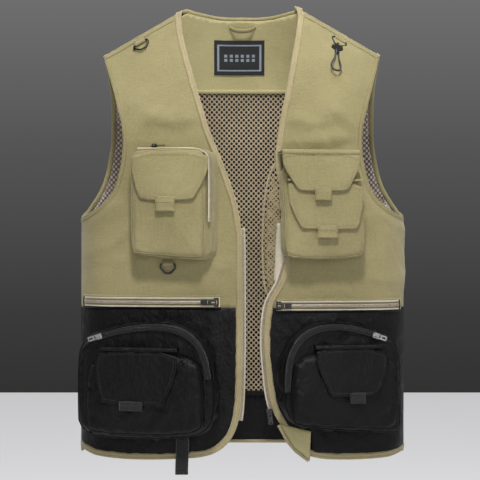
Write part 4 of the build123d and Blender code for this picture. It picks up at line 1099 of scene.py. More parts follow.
lab = [lab_patch("lab0", lambda u, v: (u, v), 26, 18, 0.0, LABEL)]
for k, (u0, u1, v0, v1) in enumerate([(0.06, 0.94, 0.84, 0.88), (0.06, 0.94, 0.12, 0.16), (0.06, 0.10, 0.16, 0.84), (0.90, 0.94, 0.16, 0.84)]
                                     + [(0.20 + 0.11 * i, 0.26 + 0.11 * i, 0.40 + 0.12 * j, 0.48 + 0.12 * j) for i in range(6) for j in range(2)]):
    lab.append(lab_patch("lab_b%d" % k, lambda u, v, a=u0, b=u1, c_=v0, d_=v1: (a + (b - a) * u, c_ + (d_ - c_) * v), max(2, int(26 * (u1 - u0))), max(2, int(18 * (v1 - v0))), 0.0003, LABEL_PALE))
lb = join("neck_label_woven", lab)
keep(lb, "vest_back", ("neck_label",))

# hanger loop: a folded strip standing off below the neckline
lc0 = (0.00025, 0.01669)
lw = 0.0215
lp, ln = surf(to_sq(np.array([(0.0, lc0[1])]), False))
lp, ln = lp[0], -ln[0]
lup = np.array([0, ln[2], -ln[1]])
lup = lup if lup[2] > 0 else -lup
verts, faces = [], []
steps = 36
for i in range(steps + 1):
    u = -1 + 2 * i / steps
    out = 0.0048 + 0.0082 * (1 - abs(u) ** 3.0)
    sag = -0.0035 * (1 - u * u)
    for a, b in ((-0.0034, 0.0), (-0.0034, 0.0016), (0.0, 0.0021), (0.0034, 0.0016), (0.0034, 0.0), (0.0, -0.0004)):
        verts.append(lp + np.array([1, 0, 0]) * (u * lw) + lup * (a + sag) + ln * (out + b))
for i in range(steps):
    for j in range(6):
        a, b = i * 6 + j, i * 6 + (j + 1) % 6
        faces.append((a, b, b + 6, a + 6))
faces += [tuple(range(6)), tuple(steps * 6 + j for j in range(6))[::-1]]
hl = mesh_object("hanger_loop_strip", verts, faces, KHAKI)
fix_normals(hl)
keep(hl, "vest_back", ("hanger_loop",))

# net linings of the fronts, and the loose strip that shows beside the left front's edge
for tag, sgn, region, body in (("right", -1, RIGHT, "right_front"), ("left", 1, LEFT, "left_front")):
    poly = inset(region, 0.0014)
    poly = clip_poly(poly, 1, -0.16, False)
    if tag == "left":
        a, b = (0.05480, -0.59927), (0.10230, -0.61110)
        corner = np.array([a, b, (0.10078, -0.66973), (0.01125, -0.66881)])
        poly = [p for p in poly if not inside(np.array([p]), corner)[0]]
    o = net(tag + "_front_net_lining", poly, True, -0.0030, NET, lambda x, z, s, q: 0 * s)
    declare(o, layers=1)
    keep(o, body, (tag + "_front_lining",))

STRIP = [(0.04953, -0.20372), (0.05329, -0.22022), (0.05931, -0.24423), (0.06382, -0.27274), (0.06533, -0.29677), (0.06759, -0.32680), (0.06683, -0.35834), (0.05780, -0.38986), (0.03977, -0.41084), (0.03151, -0.39882), (0.02851, -0.35681), (0.02851, -0.30130), (0.03226, -0.25628), (0.03977, -0.22176)]
st = net("left_front_lining_strip", [tuple(v) for v in smooth_line(STRIP, 1, True)], True, -0.0034, BINDING, lambda x, z, s, q: 0.0008 * np.sin(q / 0.006) * np.sin(s / 0.01), px=0.0028, pz=0.0030, hole=(0.0013, 0.0016))
keep(st, "left_front")
strip_edge = smooth_line([(0.04953, -0.20672), (0.03977, -0.22176), (0.03226, -0.25628), (0.02851, -0.30130), (0.02851, -0.35681), (0.03151, -0.39882), (0.03902, -0.41084)], 2)
o = edge_band("left_front_lining_strip_edge", strip_edge, [(0, -0.0040), (0.0006, -0.0028), (0.0024, -0.0026), (0.0030, -0.0036), (0.0022, -0.0046), (0.0006, -0.0046)], BINDING, True, side=1, wobble=1.5, seed=31)
keep(o, "left_front")


# ------------------------------------------------------------------ zips
def teeth(p, n, mat, name, pitch=0.0017, reach=0.0017, high=0.0010, gap=0.00012):
    """Two rows of coil teeth along a line."""
    d = np.concatenate([[0], np.cumsum(np.linalg.norm(np.diff(p, axis=0), axis=1))])
    at = np.arange(pitch, d[-1] - pitch, pitch)
    P3 = np.stack([np.interp(at, d, p[:, k]) for k in range(3)], 1)
    N3 = np.stack([np.interp(at, d, n[:, k]) for k in range(3)], 1)
    T3 = np.stack([np.interp(np.minimum(at + 0.0005, d[-1]), d, p[:, k]) for k in range(3)], 1) - P3
    T3 /= np.maximum(np.linalg.norm(T3, axis=1, keepdims=True), 1e-9)
    B3 = np.cross(N3, T3)
    verts, faces = [], []
    for c, nn, t, b in zip(P3, N3, T3, B3):
        for sgn, sh in ((1, 0.0), (-1, pitch / 2)):
            k = len(verts)
            prof = ((gap, 0.0), (gap, high * 0.8), (reach * 0.45, high), (reach, high * 0.45), (reach, 0.0))
            for w, sc in ((-0.34, 1.0), (0.34, 1.0)):
                for u, h in prof:
                    verts.append(c + t * (w * pitch + sh) + b * (sgn * u) + nn * h)
            m = len(prof)
            for i in range(m - 1):
                faces.append((k + i, k + i + 1, k + m + i + 1, k + m + i))
            faces.append(tuple(k + i for i in range(m)))
            faces.append(tuple(k + m + i for i in range(m))[::-1])
    ob = mesh_object(name, verts, faces, mat, 0)
    fix_normals(ob)
    return ob


def ribbon(p, n, half, mat, name, low=0.0, high=0.0008, dip=0.0):
    """A flat tape along a line, thicker at its woven edges."""
    t = np.gradient(p, axis=0)
    t /= np.maximum(np.linalg.norm(t, axis=1, keepdims=True), 1e-9)
    b = np.cross(n, t)
    sec = [(-half, low), (-half, high), (-half + 0.0009, high + 0.0003), (-half + 0.0016, high), (-0.3 * half, high - dip), (0.3 * half, high - dip), (half - 0.0016, high), (half - 0.0009, high + 0.0003), (half, high), (half, low)]
    m = len(sec)
    verts = [p[i] + b[i] * u + n[i] * v for i in range(len(p)) for u, v in sec]
    faces = [(i * m + j, i * m + (j + 1) % m, (i + 1) * m + (j + 1) % m, (i + 1) * m + j) for i in range(len(p) - 1) for j in range(m)]
    faces += [tuple(range(m)), tuple((len(p) - 1) * m + j for j in range(m))[::-1]]
    ob = mesh_object(name, verts, faces, mat)
    fix_normals(ob)
    return ob


def block(c, ex, ey, ez, hx, hy, hz, mat, name):
    """A small padded block of thread, as a bartack."""
    verts, faces = [], []
    n = 10
    for i in range(n + 1):
        f = -1 + 2 * i / n
        r = (1 - abs(f) ** 6) ** 0.5 if abs(f) < 1 else 0.02
        for w in range(8):
            a = math.pi * w / 4
            verts.append(c + ex * hx * f + ey * hy * math.cos(a) * max(r, 0.1) + ez * (hz * math.sin(a) * max(r, 0.1) * (1 + 0.25 * (i % 2))))
    for i in range(n):
        for w in range(8):
            a, b = i * 8 + w, i * 8 + (w + 1) % 8
            faces.append((a, b, b + 8, a + 8))
    faces += [tuple(range(8)), tuple(n * 8 + w for w in range(8))[::-1]]
    ob = mesh_object(name, verts, faces, mat)
    fix_normals(ob)
    return ob


WR, WL = (-0.13945, -0.41728)[1], (0.14712, -0.42262)[1]
for tag, x0, x1, zc, body, outer in (("right", (-0.24237, -0.41925)[0], (-0.03376, -0.41683)[0], WR, "right_front", 0), ("left", (0.05104, -0.42137)[0], (0.24165, -0.42381)[0], WL, "left_front", 1)):
    line = [(x0, zc), (x1, zc)]
    p, n = body_line(line, True, 0.0009)
    tape = ribbon(p, n, 0.0074, TAPE, "t")
    tt = teeth(p + n * 0.0008, n, TEETH, "u")
    gs = []
    for dz in (-0.0036, 0.0036):
        pp, nn = body_line([(x0 + 0.003, zc + dz), (x1 - 0.003, zc + dz)], True, 0.0017)
        gs.append(ribbon(pp, nn, 0.0003, SEAM_THREAD, "g", high=0.0002))
    ends = []
    for xe in (x0 + 0.002, x1 - 0.002):
        pe, nv = body_line([(xe - 0.001, zc), (xe + 0.001, zc)], True, 0.0022)
        ends.append(block(pe[0], np.array([0, 0, 1.0]), np.array([1.0, 0, 0]), nv[0], 0.0078, 0.0013, 0.0009, BARTACK, "e"))
        for dz in (-0.0058, 0.0058):
            ends.append(block(pe[0] + np.array([0.0035 * (1 if xe < (x0 + x1) / 2 else -1), 0, dz]), np.array([1.0, 0, 0]), np.array([0, 0, 1.0]), nv[0], 0.0030, 0.0009, 0.0007, BARTACK, "e"))
    z = join(tag + "_waist_zip", [tape, tt] + gs + ends)
    keep(z, body, (tag + "_waist_zip_tape",))
    # cloth lips above and below
    lips = []
    for dz, m, sd in ((0.0088, KHAKI, 1), (-0.0088, BLACK if zc - 0.0088 < COLOUR_Z + 0.002 else KHAKI, 1)):
        sec = [(-0.0016, 0.0002), (-0.0013, 0.0016), (0.0, 0.0022), (0.0014, 0.0019), (0.0024, 0.0004), (0.0, -0.0002)]
        lips.append(edge_band("l", [(x0 - 0.001, zc + dz), (x1 + 0.001, zc + dz)], sec, m, True, side=1 if dz < 0 else -1, wobble=0.8))
    lp_ = join(tag + "_waist_zip_lips", lips)
    keep(lp_, body)

# pocket bags behind the waist zips, hanging inside
for tag, pts, body in (("right", [(-0.22317, -0.41675), (-0.04277, -0.41534), (-0.04878, -0.55645), (-0.21027, -0.55917)], "right_front"), ("left", [(0.05931, -0.41989), (0.22832, -0.42151), (0.21839, -0.55963), (0.07135, -0.55662)], "left_front")):
    o = body_sheet(tag + "_waist_pocket_bag_cloth", pts, True, -0.0040, 0.0011, POCKETING, 0.007, None)
    d = np.array([v.co for v in o.data.vertices])
    d[:, 1] += 0.0012 * np.abs(crumple(d[:, 0], d[:, 2], 0.04, 81, 0.4, 1.5))
    o.data.vertices.foreach_set("co", d.ravel())
    o.data.update()
    declare(o)
    keep(o, body, (tag + "_waist_pocket_bag",))

# front zip: coil down the left front's edge, plain tape on the right
zl = smooth_line([(0.06262, -0.35683), (0.05374, -0.38955), (0.03722, -0.41383), (0.03166, -0.44083), (0.02986, -0.47834), (0.03286, -0.51736), (0.03737, -0.55789), (0.04277, -0.57742)], 2)
p, n = body_line(zl, True, -0.0016)
a = ribbon(p, n, 0.0042, TAPE, "t", low=-0.0006, high=0.0004)
b = teeth(p + n * 0.0006, n, TEETH, "u", reach=0.0019, high=0.0012)
z = join("left_front_zip", [a, b])
keep(z, "left_front", ("left_zip_tape",))
zr = smooth_line([(0.00030, -0.30580), (0.00165, -0.32680), (0.00195, -0.42730), (0.00195, -0.49630), (0.00030, -0.56530), (-0.00300, -0.59530)], 2)
p, n = body_line(zr, True, -0.0018)
a = ribbon(p, n, 0.0034, TAPE_PALE, "t", low=-0.0006, high=0.0003)
b = teeth(p + n * 0.0005, n, TEETH, "u", reach=0.0013, high=0.0009)
z = join("right_front_zip", [a, b])
keep(z, "right_front", ("right_zip_tape",))
# the zip's facing patch at the left front's edge; its plain round print is not drawn
FAC = [(0.05179, -0.29828), (0.06458, -0.29827), (0.06683, -0.32680), (0.06608, -0.35834), (0.05856, -0.38686), (0.04728, -0.38534), (0.04878, -0.35682), (0.05029, -0.32680)]
o = body_sheet("left_zip_facing_patch", FAC, True, -0.0012, 0.0009, TAPE_PALE, 0.004, None)
keep(o, "left_front")

# the hem corner of the left front, folded out
FOLD = [(0.05630, -0.59973), (0.10275, -0.61156), (0.10048, -0.65318), (0.07436, -0.63250)]
fp = dense(FOLD, 0.004)
fv, ftris = fill(to_sq(fp, True), 0.0035)
c0 = to_sq([FOLD[0], FOLD[1]], True)
dd = line_dist(fv, c0)
pf, nf = surf(fv, 0.0016 + 0.0030 * np.clip(dd / 0.03, 0, 1) + 0.0006 * vnoise(fv[:, 0] / 0.01, fv[:, 1] / 0.01, 90))
o = solid_sheet("left_hem_corner", pf, pf - nf * 0.0012, ftris, KHAKI_FACING_PAINTED_LIGHT, (0, -1, 0))
keep(o, "left_front")
o = edge_band("left_hem_corner_edge", smooth_line([(0.05660, -0.60034), (0.07482, -0.63266), (0.10093, -0.65289)], 1), [(0, 0.0010), (0.0006, 0.0042), (0.0030, 0.0056), (0.0052, 0.0050), (0.0056, 0.0028), (0.003, 0.0008)], BINDING, True, side=-1, wobble=1.0)
keep(o, "left_front")

# ------------------------------------------------------------------ pockets
def body_depth(x, z):
    t = RIDGE - SLOPE * np.abs(x) - z
    y = np.where(t <= T_END, np.interp(t, TT, YT), HALF_D)
    return np.minimum(plan(x), y)


class Face:
    """An upright plane on the body; u runs to +x, v is height, w stands off towards the front."""

    def __init__(self, x0, y0, angle):
        self.x0, self.y0 = x0, y0
        self.c, self.s = math.cos(math.radians(angle)), math.sin(math.radians(angle))
        self.n = np.array([self.s, -self.c, 0.0])
        self.e = np.array([self.c, self.s, 0.0])

    def flat(self, pts):
        return [((x - self.x0) / self.c, z) for x, z in pts]

    def at(self, u, v, w):
        u, v, w = np.asarray(u, float), np.asarray(v, float), np.asarray(w, float)
        return np.stack([self.x0 + self.c * u + self.s * w, self.y0 + self.s * u - self.c * w, v + 0 * u], -1)

    def ground(self, u, v):
        """w of the body's surface behind a point of the plane."""
        w = np.zeros(len(u)) - 0.03
        for _ in range(14):
            x = self.x0 + self.c * u + self.s * w
            w = 0.5 * w + 0.5 * ((self.y0 + self.s * u + body_depth(x, v)) / self.c)
        return w


def order_loop(tris):
    nxt = {a: b for a, b in rim_of(tris)}
    start = next(iter(nxt))
    out, k = [start], nxt[start]
    while k != start and len(out) < len(nxt) + 2:
        out.append(k)
        k = nxt[k]
    return out


def crown_of(poly, high, reach=0.030, low_bias=0.35):
    """How far a filled pocket's front stands off its plane."""
    poly = dense(poly, 0.006)
    lo, hi = poly.min(0), poly.max(0)

    def f(u, v):
        p = np.stack([np.asarray(u, float), np.asarray(v, float)], 1)
        d = line_dist(p, poly, True) * np.where(inside(p, poly), 1, 0)
        k = 1 - np.exp(-((d / reach) ** 1.6))
        t = np.clip((hi[1] - p[:, 1]) / (hi[1] - lo[1]), 0, 1)
        return high * k * (1 - low_bias + 2 * low_bias * t)

    return f


def pocket(name, face, outline, front, mat, crown, body, back=None, h=0.0042, seed=0, wrinkle=0.0008, round_r=0.003, bulge=0.003, pleats=0.0, open_above=None, floor_w=None, rows=9, replaces=(), sideways=0.0, taper=0.0, flare=None):
    """Front wall and gusset of a pocket. back is the level that the gusset ends at, or the body's surface."""
    poly = smooth_line(face.flat(outline), 2, True)
    v2, tris = fill(poly, h)
    loop_poly = dense(poly, h)
    d = line_dist(v2, loop_poly, True)
    # anticlockwise, so that outwards is to the right of the loop
    a = np.cross(v2[tris[0][1]] - v2[tris[0][0]], v2[tris[0][2]] - v2[tris[0][0]])
    if a < 0:
        tris = [t[::-1] for t in tris]
    loop = order_loop(tris)
    w = front + crown(v2[:, 0], v2[:, 1])
    k = np.clip(1 - d / round_r, 0, 1)
    w = w - round_r * (1 - np.sqrt(np.maximum(1 - k**2, 0)))
    fade = np.clip(d / 0.006, 0, 1)
    w = w + fade * wrinkle * (0.9 * vnoise(v2[:, 0] / 0.04 + seed, v2[:, 1] / 0.05, seed) + 0.8 * crumple(v2[:, 0], v2[:, 1], 0.030, seed + 1, 0.8, 1.7) + 0.35 * crumple(v2[:, 0], v2[:, 1], 0.013, seed + 4, -0.5, 1.5))
    # puckers along the seam
    ang = np.arctan2(v2[:, 1] - v2[:, 1].mean(), v2[:, 0] - v2[:, 0].mean())
    w = w + wrinkle * 0.7 * np.exp(-d / 0.007) * np.sin(v2[:, 0] / 0.0023 + v2[:, 1] / 0.0029 + 3 * np.sin(ang * 7)) * np.clip(d / 0.0015, 0, 1)
    verts = list(face.at(v2[:, 0], v2[:, 1], w))
    faces = [tuple(t) for t in tris]
    L = np.array(loop)
    lp = v2[L]
    tang = np.roll(lp, -1, 0) - np.roll(lp, 1, 0)
    tang /= np.maximum(np.linalg.norm(tang, axis=1, keepdims=True), 1e-9)
    outw = np.stack([tang[:, 1], -tang[:, 0]], 1)
    w0 = w[L]
    if back is None:
        end = lp + (flare(lp) if flare is not None else 0)
        wb = face.ground(end[:, 0], end[:, 1]) - 0.0012
    else:
        wb = np.full(len(L), back)
    if floor_w is not None:
        wb = floor_w(lp[:, 0], lp[:, 1])
    arc = np.concatenate([[0], np.cumsum(np.linalg.norm(np.diff(lp, axis=0), axis=1))])
    prev = list(L)
    keep_edge = np.ones(len(L), bool)
    if open_above is not None:
        keep_edge = ~((lp[:, 1] > open_above) & (np.roll(lp, -1, 0)[:, 1] > open_above))
    for j in range(1, rows + 1):
        f = j / rows
        dep = w0 - wb
        b = bulge * math.sin(math.pi * f) + pleats * (math.sin(math.pi * 2 * f) ** 2 * -1.0)
        wr = np.clip(dep / 0.03, 0.15, 1) * wrinkle * 1.6 * math.sin(math.pi * min(f * 1.15, 1)) * (crumple(arc, arc * 0 + f * 0.03, 0.017, seed + 8, 1.57, 1.0) + 0.6 * vnoise(arc / 0.008, arc * 0 + f * 3, seed + 6))
        off = b * np.clip(dep / 0.02, 0.1, 1) + wr + sideways * f - taper * f * np.clip(dep / 0.03, 0, 1)
        pts = lp + outw * off[:, None]
        if flare is not None:
            pts = pts + flare(lp) * f
        ww = w0 + (wb - w0) * f
        base = len(verts)
        verts += list(face.at(pts[:, 0], pts[:, 1], ww))
        n = len(L)
        cur = [base + i for i in range(n)]
        for i in range(n):
            if not keep_edge[i]:
                continue
            i2 = (i + 1) % n
            faces.append((prev[i2], prev[i], cur[i], cur[i2]))
        prev = cur
    ob = mesh_object(name, verts, faces, mat)
    ob["seam"] = 1
    rim = face.at(lp[:, 0], lp[:, 1], w0)
    if body:
        keep(ob, body, replaces)
    return ob, dict(loop=lp, out=outw, w=w0, rim=rim, poly=poly, front=lambda u, v: front + crown(u, v))


def piping(name, face, info, mat, body, radius=0.0009, skip_above=None, lift=0.0):
    lp, w = info["loop"], info["w"]
    lp = lp + info["out"] * 0.0002
    if skip_above is None:
        p = face.at(lp[:, 0], lp[:, 1], w + lift)
        ob = tube(name, p, radius, mat, 6, True)
    else:
        idx = [i for i in range(len(lp)) if lp[i][1] <= skip_above]
        # start after the open part
        brk = [k for k in range(len(idx)) if (idx[k] + 1) % len(lp) not in set(idx)]
        k = (brk[0] + 1) % len(idx) if brk else 0
        idx = idx[k:] + idx[:k]
        ob = tube(name, face.at(lp[idx, 0], lp[idx, 1], w[idx] + lift), radius, mat, 6)
    keep(ob, body)
    return ob


def face_line(face, pts, level, crown, h=0.004, lift=0.0):
    p = even(pts, h)
    w = level + crown(p[:, 0], p[:, 1]) + lift
    return face.at(p[:, 0], p[:, 1], w), np.tile(face.n, (len(p), 1))


def flap(name, face, outline, level, mat, crown, body, replaces=(), thick=0.0013, seed=0, lift=0.0025, thread=None, tab=None, tab_mat=None, curl=0.0012):
    poly = smooth_line(face.flat(outline), 1, True)
    # the height of the top, taken from the outline before its corners are cut
    raw = face.flat(outline)
    top = max(v for _, v in raw)
    poly = np.array([tuple(p) for p in poly])
    v2, tris = fill(poly, 0.0034)
    d = line_dist(v2, dense(poly, 0.004), True)
    lo = v2[:, 1].min()
    t = np.clip((top - v2[:, 1]) / (top - lo), 0, 1)
    mid = 0.5 * (v2[:, 0].min() + v2[:, 0].max())
    side = np.abs(v2[:, 0] - mid) / (0.5 * (v2[:, 0].max() - v2[:, 0].min()))
    g = np.clip(t * 4, 0, 1)
    w = level + g * crown(v2[:, 0], v2[:, 1]) + lift * t**2 * (0.45 + 0.55 * side**2)
    w = w + g * 0.0006 * (vnoise(v2[:, 0] / 0.03 + seed, v2[:, 1] / 0.03, seed) + 0.7 * crumple(v2[:, 0], v2[:, 1], 0.022, seed + 1, 0.4, 2.0)) + curl * np.exp(-d / 0.004) * t * (0.6 + 0.6 * vnoise(v2[:, 0] / 0.02, v2[:, 1] / 0.02, seed + 3))
    # the sewn line dips the cloth a little inside the edge
    w = w - 0.00045 * np.exp(-(((d - 0.0052) / 0.0011) ** 2)) + 0.0003 * np.exp(-(((d - 0.0026) / 0.0014) ** 2))
    th = thick * (1 - 0.75 * np.clip(1 - d / 0.0012, 0, 1) ** 2)
    topv = face.at(v2[:, 0], v2[:, 1], w + th / 2 + thick / 2)
    under = face.at(v2[:, 0], v2[:, 1], w + thick / 2 - th / 2)
    ob = solid_sheet(name, topv, under, tris, mat, face.n)
    from mathutils.kdtree import KDTree
    kd = KDTree(len(v2))
    for i, (a, b) in enumerate(v2):
        kd.insert((a, b, 0), i)
    kd.balance()
    hgt = w + th / 2 + thick / 2

    def level_at(p):
        out = []
        for a, b in p:
            s, tot = 0.0, 0.0
            for _co, i, dist in kd.find_n((a, b, 0), 4):
                k = 1 / (dist + 1e-4)
                s += hgt[i] * k
                tot += k
            out.append(s / tot)
        return np.array(out)

    if thread is not None:
        lines = []
        for ins in (0.0052,):
            ring = even(np.array(inset([tuple(p) for p in poly], ins) + [inset([tuple(p) for p in poly], ins)[0]]), 0.003)
            lines.append((face.at(ring[:, 0], ring[:, 1], level_at(ring) + 0.0001), np.tile(face.n, (len(ring), 1))))
        st_ = stitches(name + "_stitches", lines, thread)
        keep(st_, body)
    if tab is not None:
        tp = np.array(face.flat(tab))
        x0, x1 = tp[:, 0].min(), tp[:, 0].max()
        z1, z0 = tp[:, 1].max(), tp[:, 1].min()
        verts, faces = [], []
        nu, nv = 8, 12
        base_w = level_at([((x0 + x1) / 2, z1)])[0]
        zs = [z1 + (z0 - z1) * j / nv for j in range(nv + 1)]
        lev = level_at([((x0 + x1) / 2, max(z, lo + 0.002)) for z in zs])
        for lay in (0, 1):
            for j, z in enumerate(zs):
                for i in range(nu + 1):
                    u = x0 + (x1 - x0) * i / nu
                    e = min(i, nu - i) / nu
                    tt_ = j / nv
                    ww = lev[j] + 0.0004 + (0.0013 if lay == 0 else 0.0) - 0.0005 * (1 - min(1, e * 8)) * (1 if lay == 0 else 0) + 0.0012 * tt_ + 0.0003 * math.sin(tt_ * 9 + seed)
                    verts.append(face.at(u, z, ww))
        n1 = (nu + 1) * (nv + 1)
        for j in range(nv):
            for i in range(nu):
                a = j * (nu + 1) + i
                faces.append((a, a + 1, a + nu + 2, a + nu + 1))
                faces.append((n1 + a, n1 + a + nu + 1, n1 + a + nu + 2, n1 + a + 1))
        ring = [i for i in range(nu + 1)] + [j * (nu + 1) + nu for j in range(1, nv + 1)] + [nv * (nu + 1) + i for i in range(nu - 1, -1, -1)] + [j * (nu + 1) for j in range(nv - 1, 0, -1)]
        for i in range(len(ring)):
            a, b = ring[i], ring[(i + 1) % len(ring)]
            faces.append((a, n1 + a, n1 + b, b))
        tb = mesh_object(name + "_tab", verts, faces, tab_mat or mat)
        fix_normals(tb)
        lines = []
        if thread is not None:
            m = 0.0018
            for seg in (((x0 + m, z1 - m), (x1 - m, z1 - m)), ((x0 + m, z1 - m), (x0 + m, z0 + m)), ((x1 - m, z1 - m), (x1 - m, z0 + m)), ((x0 + m, z0 + m), (x1 - m, z0 + m)), ((x0 + m, z1 - 0.4 * (z1 - z0)), (x1 - m, z1 - 0.4 * (z1 - z0)))):
                e = even(np.array(seg), 0.002)
                tt_ = (z1 - e[:, 1]) / (z1 - z0)
                lw_ = np.interp(tt_, np.linspace(0, 1, nv + 1), lev) + 0.0004 + 0.0013 + 0.0012 * tt_ + 0.0003 * np.sin(tt_ * 9 + seed) + 0.0001
                lines.append((face.at(e[:, 0], e[:, 1], lw_), np.tile(face.n, (len(e), 1))))
            s2 = stitches(name + "_tab_stitches", lines, thread)
            keep(s2, body)
        keep(tb, body)
    declare(ob)
    keep(ob, body, replaces)
    return ob


def top_strip(name, face, u0, u1, v_top, level, mat, crown, back_w, body, drop=0.010, seed=0):
    """The turned strip that a flap hangs from: comes off the pocket and over the flap's upper edge."""
    n = 30
    verts, faces = [], []
    for i in range(n + 1):
        u = u0 + (u1 - u0) * i / n
        cw = float(crown(np.array([u]), np.array([v_top - 0.004]))[0]) * 0.2
        wv = 0.0004 * math.sin(u * 260 + seed) + 0.0003 * math.sin(u * 610 + seed)
        sec = ((back_w, 0.0004), (back_w * 0.5 + level * 0.5, 0.0026 + wv), (level + 0.0006, 0.0022), (level + 0.0024 + wv, 0.0002), (level + 0.0026 + wv, -drop * 0.5), (level + 0.0022 + wv + cw, -drop), (level + 0.0012 + cw, -drop - 0.0004), (level + 0.0012, -drop * 0.5), (level + 0.0004, -0.0008), (back_w, -0.0010))
        for w, dv in sec:
            verts.append(face.at(u, v_top + dv, w))
    m = 10
    for i in range(n):
        for j in range(m):
            a, b = i * m + j, i * m + (j + 1) % m
            faces.append((a, b, b + m, a + m))
    faces += [tuple(range(m)), tuple(n * m + j for j in range(m))[::-1]]
    ob = mesh_object(name, verts, faces, mat)
    fix_normals(ob)
    keep(ob, body)
    return ob


def plane_zip(face, pts, level, half, name, body, tape, tooth, replaces=(), normal=None, crown=None, reach=0.0016):
    p = even(smooth_line(pts, 2), 0.0025)
    w = level + (crown(p[:, 0], p[:, 1]) if crown is not None else 0)
    P3 = face.at(p[:, 0], p[:, 1], w)
    n = np.tile(face.n, (len(p), 1))
    a = ribbon(P3, n, half, tape, "a", low=-0.0012, high=0.0007)
    b = teeth(P3 + n * 0.0006, n, tooth, "b", reach=reach)
    o = join(name, [a, b])
    keep(o, body, replaces)
    return o


FR, FL = "right_front", "left_front"
# ---- right chest pocket
RCF = Face(-0.105, -(float(plan(np.array([0.105]))[0]) + 0.032), -7.0)
rc_out = [(-0.16554, -0.19674), (-0.16037, -0.18831), (-0.06581, -0.18831), (-0.05842, -0.19526), (-0.05724, -0.22924), (-0.05724, -0.28243), (-0.05812, -0.33858), (-0.06285, -0.34966), (-0.07024, -0.35113), (-0.15741, -0.34449), (-0.16554, -0.33710)]
rc_mid, rc_right = RCF.flat([(-0.10422, -0.26470)])[0][0], RCF.flat([(-0.05724, -0.26470)])[0][0]


def rc_flare(lp):
    k = np.clip((lp[:, 0] - rc_mid) / (rc_right - rc_mid), 0, 1)
    k = k * k * (3 - 2 * k)
    return np.stack([0.0165 * k, -0.0015 * k], 1)


rc_crown = crown_of(RCF.flat([(-0.16578, -0.19358), (-0.16060, -0.18811), (-0.05850, -0.18811), (-0.05850, -0.34748), (-0.16208, -0.34452)]), 0.0034)
ob, rci = pocket("right_chest_pocket_cloth", RCF, rc_out, -0.0005, KHAKI, lambda u, v: rc_crown(u, v) * 0.9, FR, seed=101, bulge=0.0022, pleats=0.0016, replaces=("right_chest_pocket",), flare=rc_flare)
piping("right_chest_pocket_seam", RCF, rci, KHAKI, FR, 0.0010)
rc_patch = [(-0.16266, -0.21441), (-0.06140, -0.21441), (-0.05918, -0.27945), (-0.05992, -0.34523), (-0.06436, -0.34893), (-0.15749, -0.34302), (-0.16192, -0.33858)]
ob, rpi = pocket("right_chest_patch_cloth", RCF, rc_patch, 0.0018, KHAKI, rc_crown, FR, back=-0.0008, seed=107, rows=3, bulge=0.0004, round_r=0.0016, wrinkle=0.0007, open_above=(-0.13679, -0.21884)[1], replaces=("right_chest_patch_pocket",))
piping("right_chest_patch_seam", RCF, rpi, KHAKI, FR, 0.0007, skip_above=(-0.13679, -0.21884)[1])
flap("right_chest_flap_cloth", RCF, [(-0.16442, -0.19281), (-0.16472, -0.21747), (-0.15955, -0.24110), (-0.15290, -0.26074), (-0.14847, -0.26355), (-0.12780, -0.26532), (-0.09885, -0.26532), (-0.07463, -0.26384), (-0.07050, -0.26104), (-0.05987, -0.24110), (-0.05056, -0.22190), (-0.04982, -0.19281)], 0.0034, KHAKI, rc_crown, "right_chest_flap", ("right_chest_flap",), seed=111, thread=THREAD, tab=[(-0.12780, -0.25956), (-0.12780, -0.28156), (-0.09885, -0.28156), (-0.09885, -0.25956)])
# its zip, over the top of the gusset and down the inner side
zz = (-0.10733, -0.18811)[1]
uu = [p[0] for p in RCF.flat([(-0.15764, -0.18766), (-0.06294, -0.18766), (-0.05377, -0.18766)])]
top_w = -0.0090
vv = [(-0.04370, -0.20098)[1], (-0.04370, -0.29716)[1]]
line = [(uu[0], zz + 0.0006), (uu[0] + 0.04, zz + 0.0006), (uu[1] - 0.004, zz + 0.0006), (uu[2] + 0.0006, zz - 0.008), (uu[2] + 0.0028, vv[0] - 0.006), (uu[2] + 0.0036, (vv[0] + vv[1]) / 2), (uu[2] + 0.0030, vv[1])]
p2 = even(smooth_line(line, 2), 0.0025)
tg = np.gradient(p2, axis=0)
tg /= np.linalg.norm(tg, axis=1, keepdims=True)
nn2 = np.stack([-tg[:, 1], tg[:, 0]], 1)
P3 = RCF.at(p2[:, 0], p2[:, 1], np.full(len(p2), top_w))
N3 = RCF.e * nn2[:, :1] + np.array([0, 0, 1.0]) * nn2[:, 1:]
a = ribbon(P3, N3, 0.0052, TAPE, "a", low=-0.0010, high=0.0008)
b = teeth(P3 + N3 * 0.0007, N3, TEETH, "b", reach=0.0019, high=0.0012)
ends = [block(P3[-3], RCF.n, N3[-3], np.cross(RCF.n, N3[-3]), 0.0055, 0.0011, 0.0009, BARTACK, "e"), block(P3[3], RCF.n, N3[3], np.cross(RCF.n, N3[3]), 0.0055, 0.0011, 0.0009, BARTACK, "e")]
o = join("right_chest_zip", [a, b] + ends)
keep(o, FR, ("right_chest_zip_tape",))

# ---- left chest pockets
LCF = Face(0.121, -(float(plan(np.array([0.121]))[0]) + 0.028), 7.6)
lc_out = [(0.05853, -0.20221), (0.17344, -0.20221), (0.17863, -0.26597), (0.18130, -0.33566), (0.17640, -0.34901), (0.07039, -0.34827), (0.06297, -0.33863), (0.06149, -0.26597)]
lc_crown = crown_of(LCF.flat(lc_out), 0.0030)
ob, lci = pocket("left_chest_pocket_cloth", LCF, lc_out, -0.0015, KHAKI, lc_crown, FL, seed=121, bulge=0.0030, pleats=0.0022, open_above=(0.08521, -0.20518)[1], replaces=("left_chest_pocket",), wrinkle=0.0011)
piping("left_chest_pocket_seam", LCF, lci, KHAKI, FL, 0.0009, skip_above=(0.08521, -0.20518)[1])
lc_outer = [(0.06492, -0.24110), (0.17494, -0.24110), (0.17863, -0.28688), (0.18055, -0.33266), (0.17568, -0.34964), (0.07009, -0.35127), (0.06389, -0.33561), (0.06270, -0.28688)]
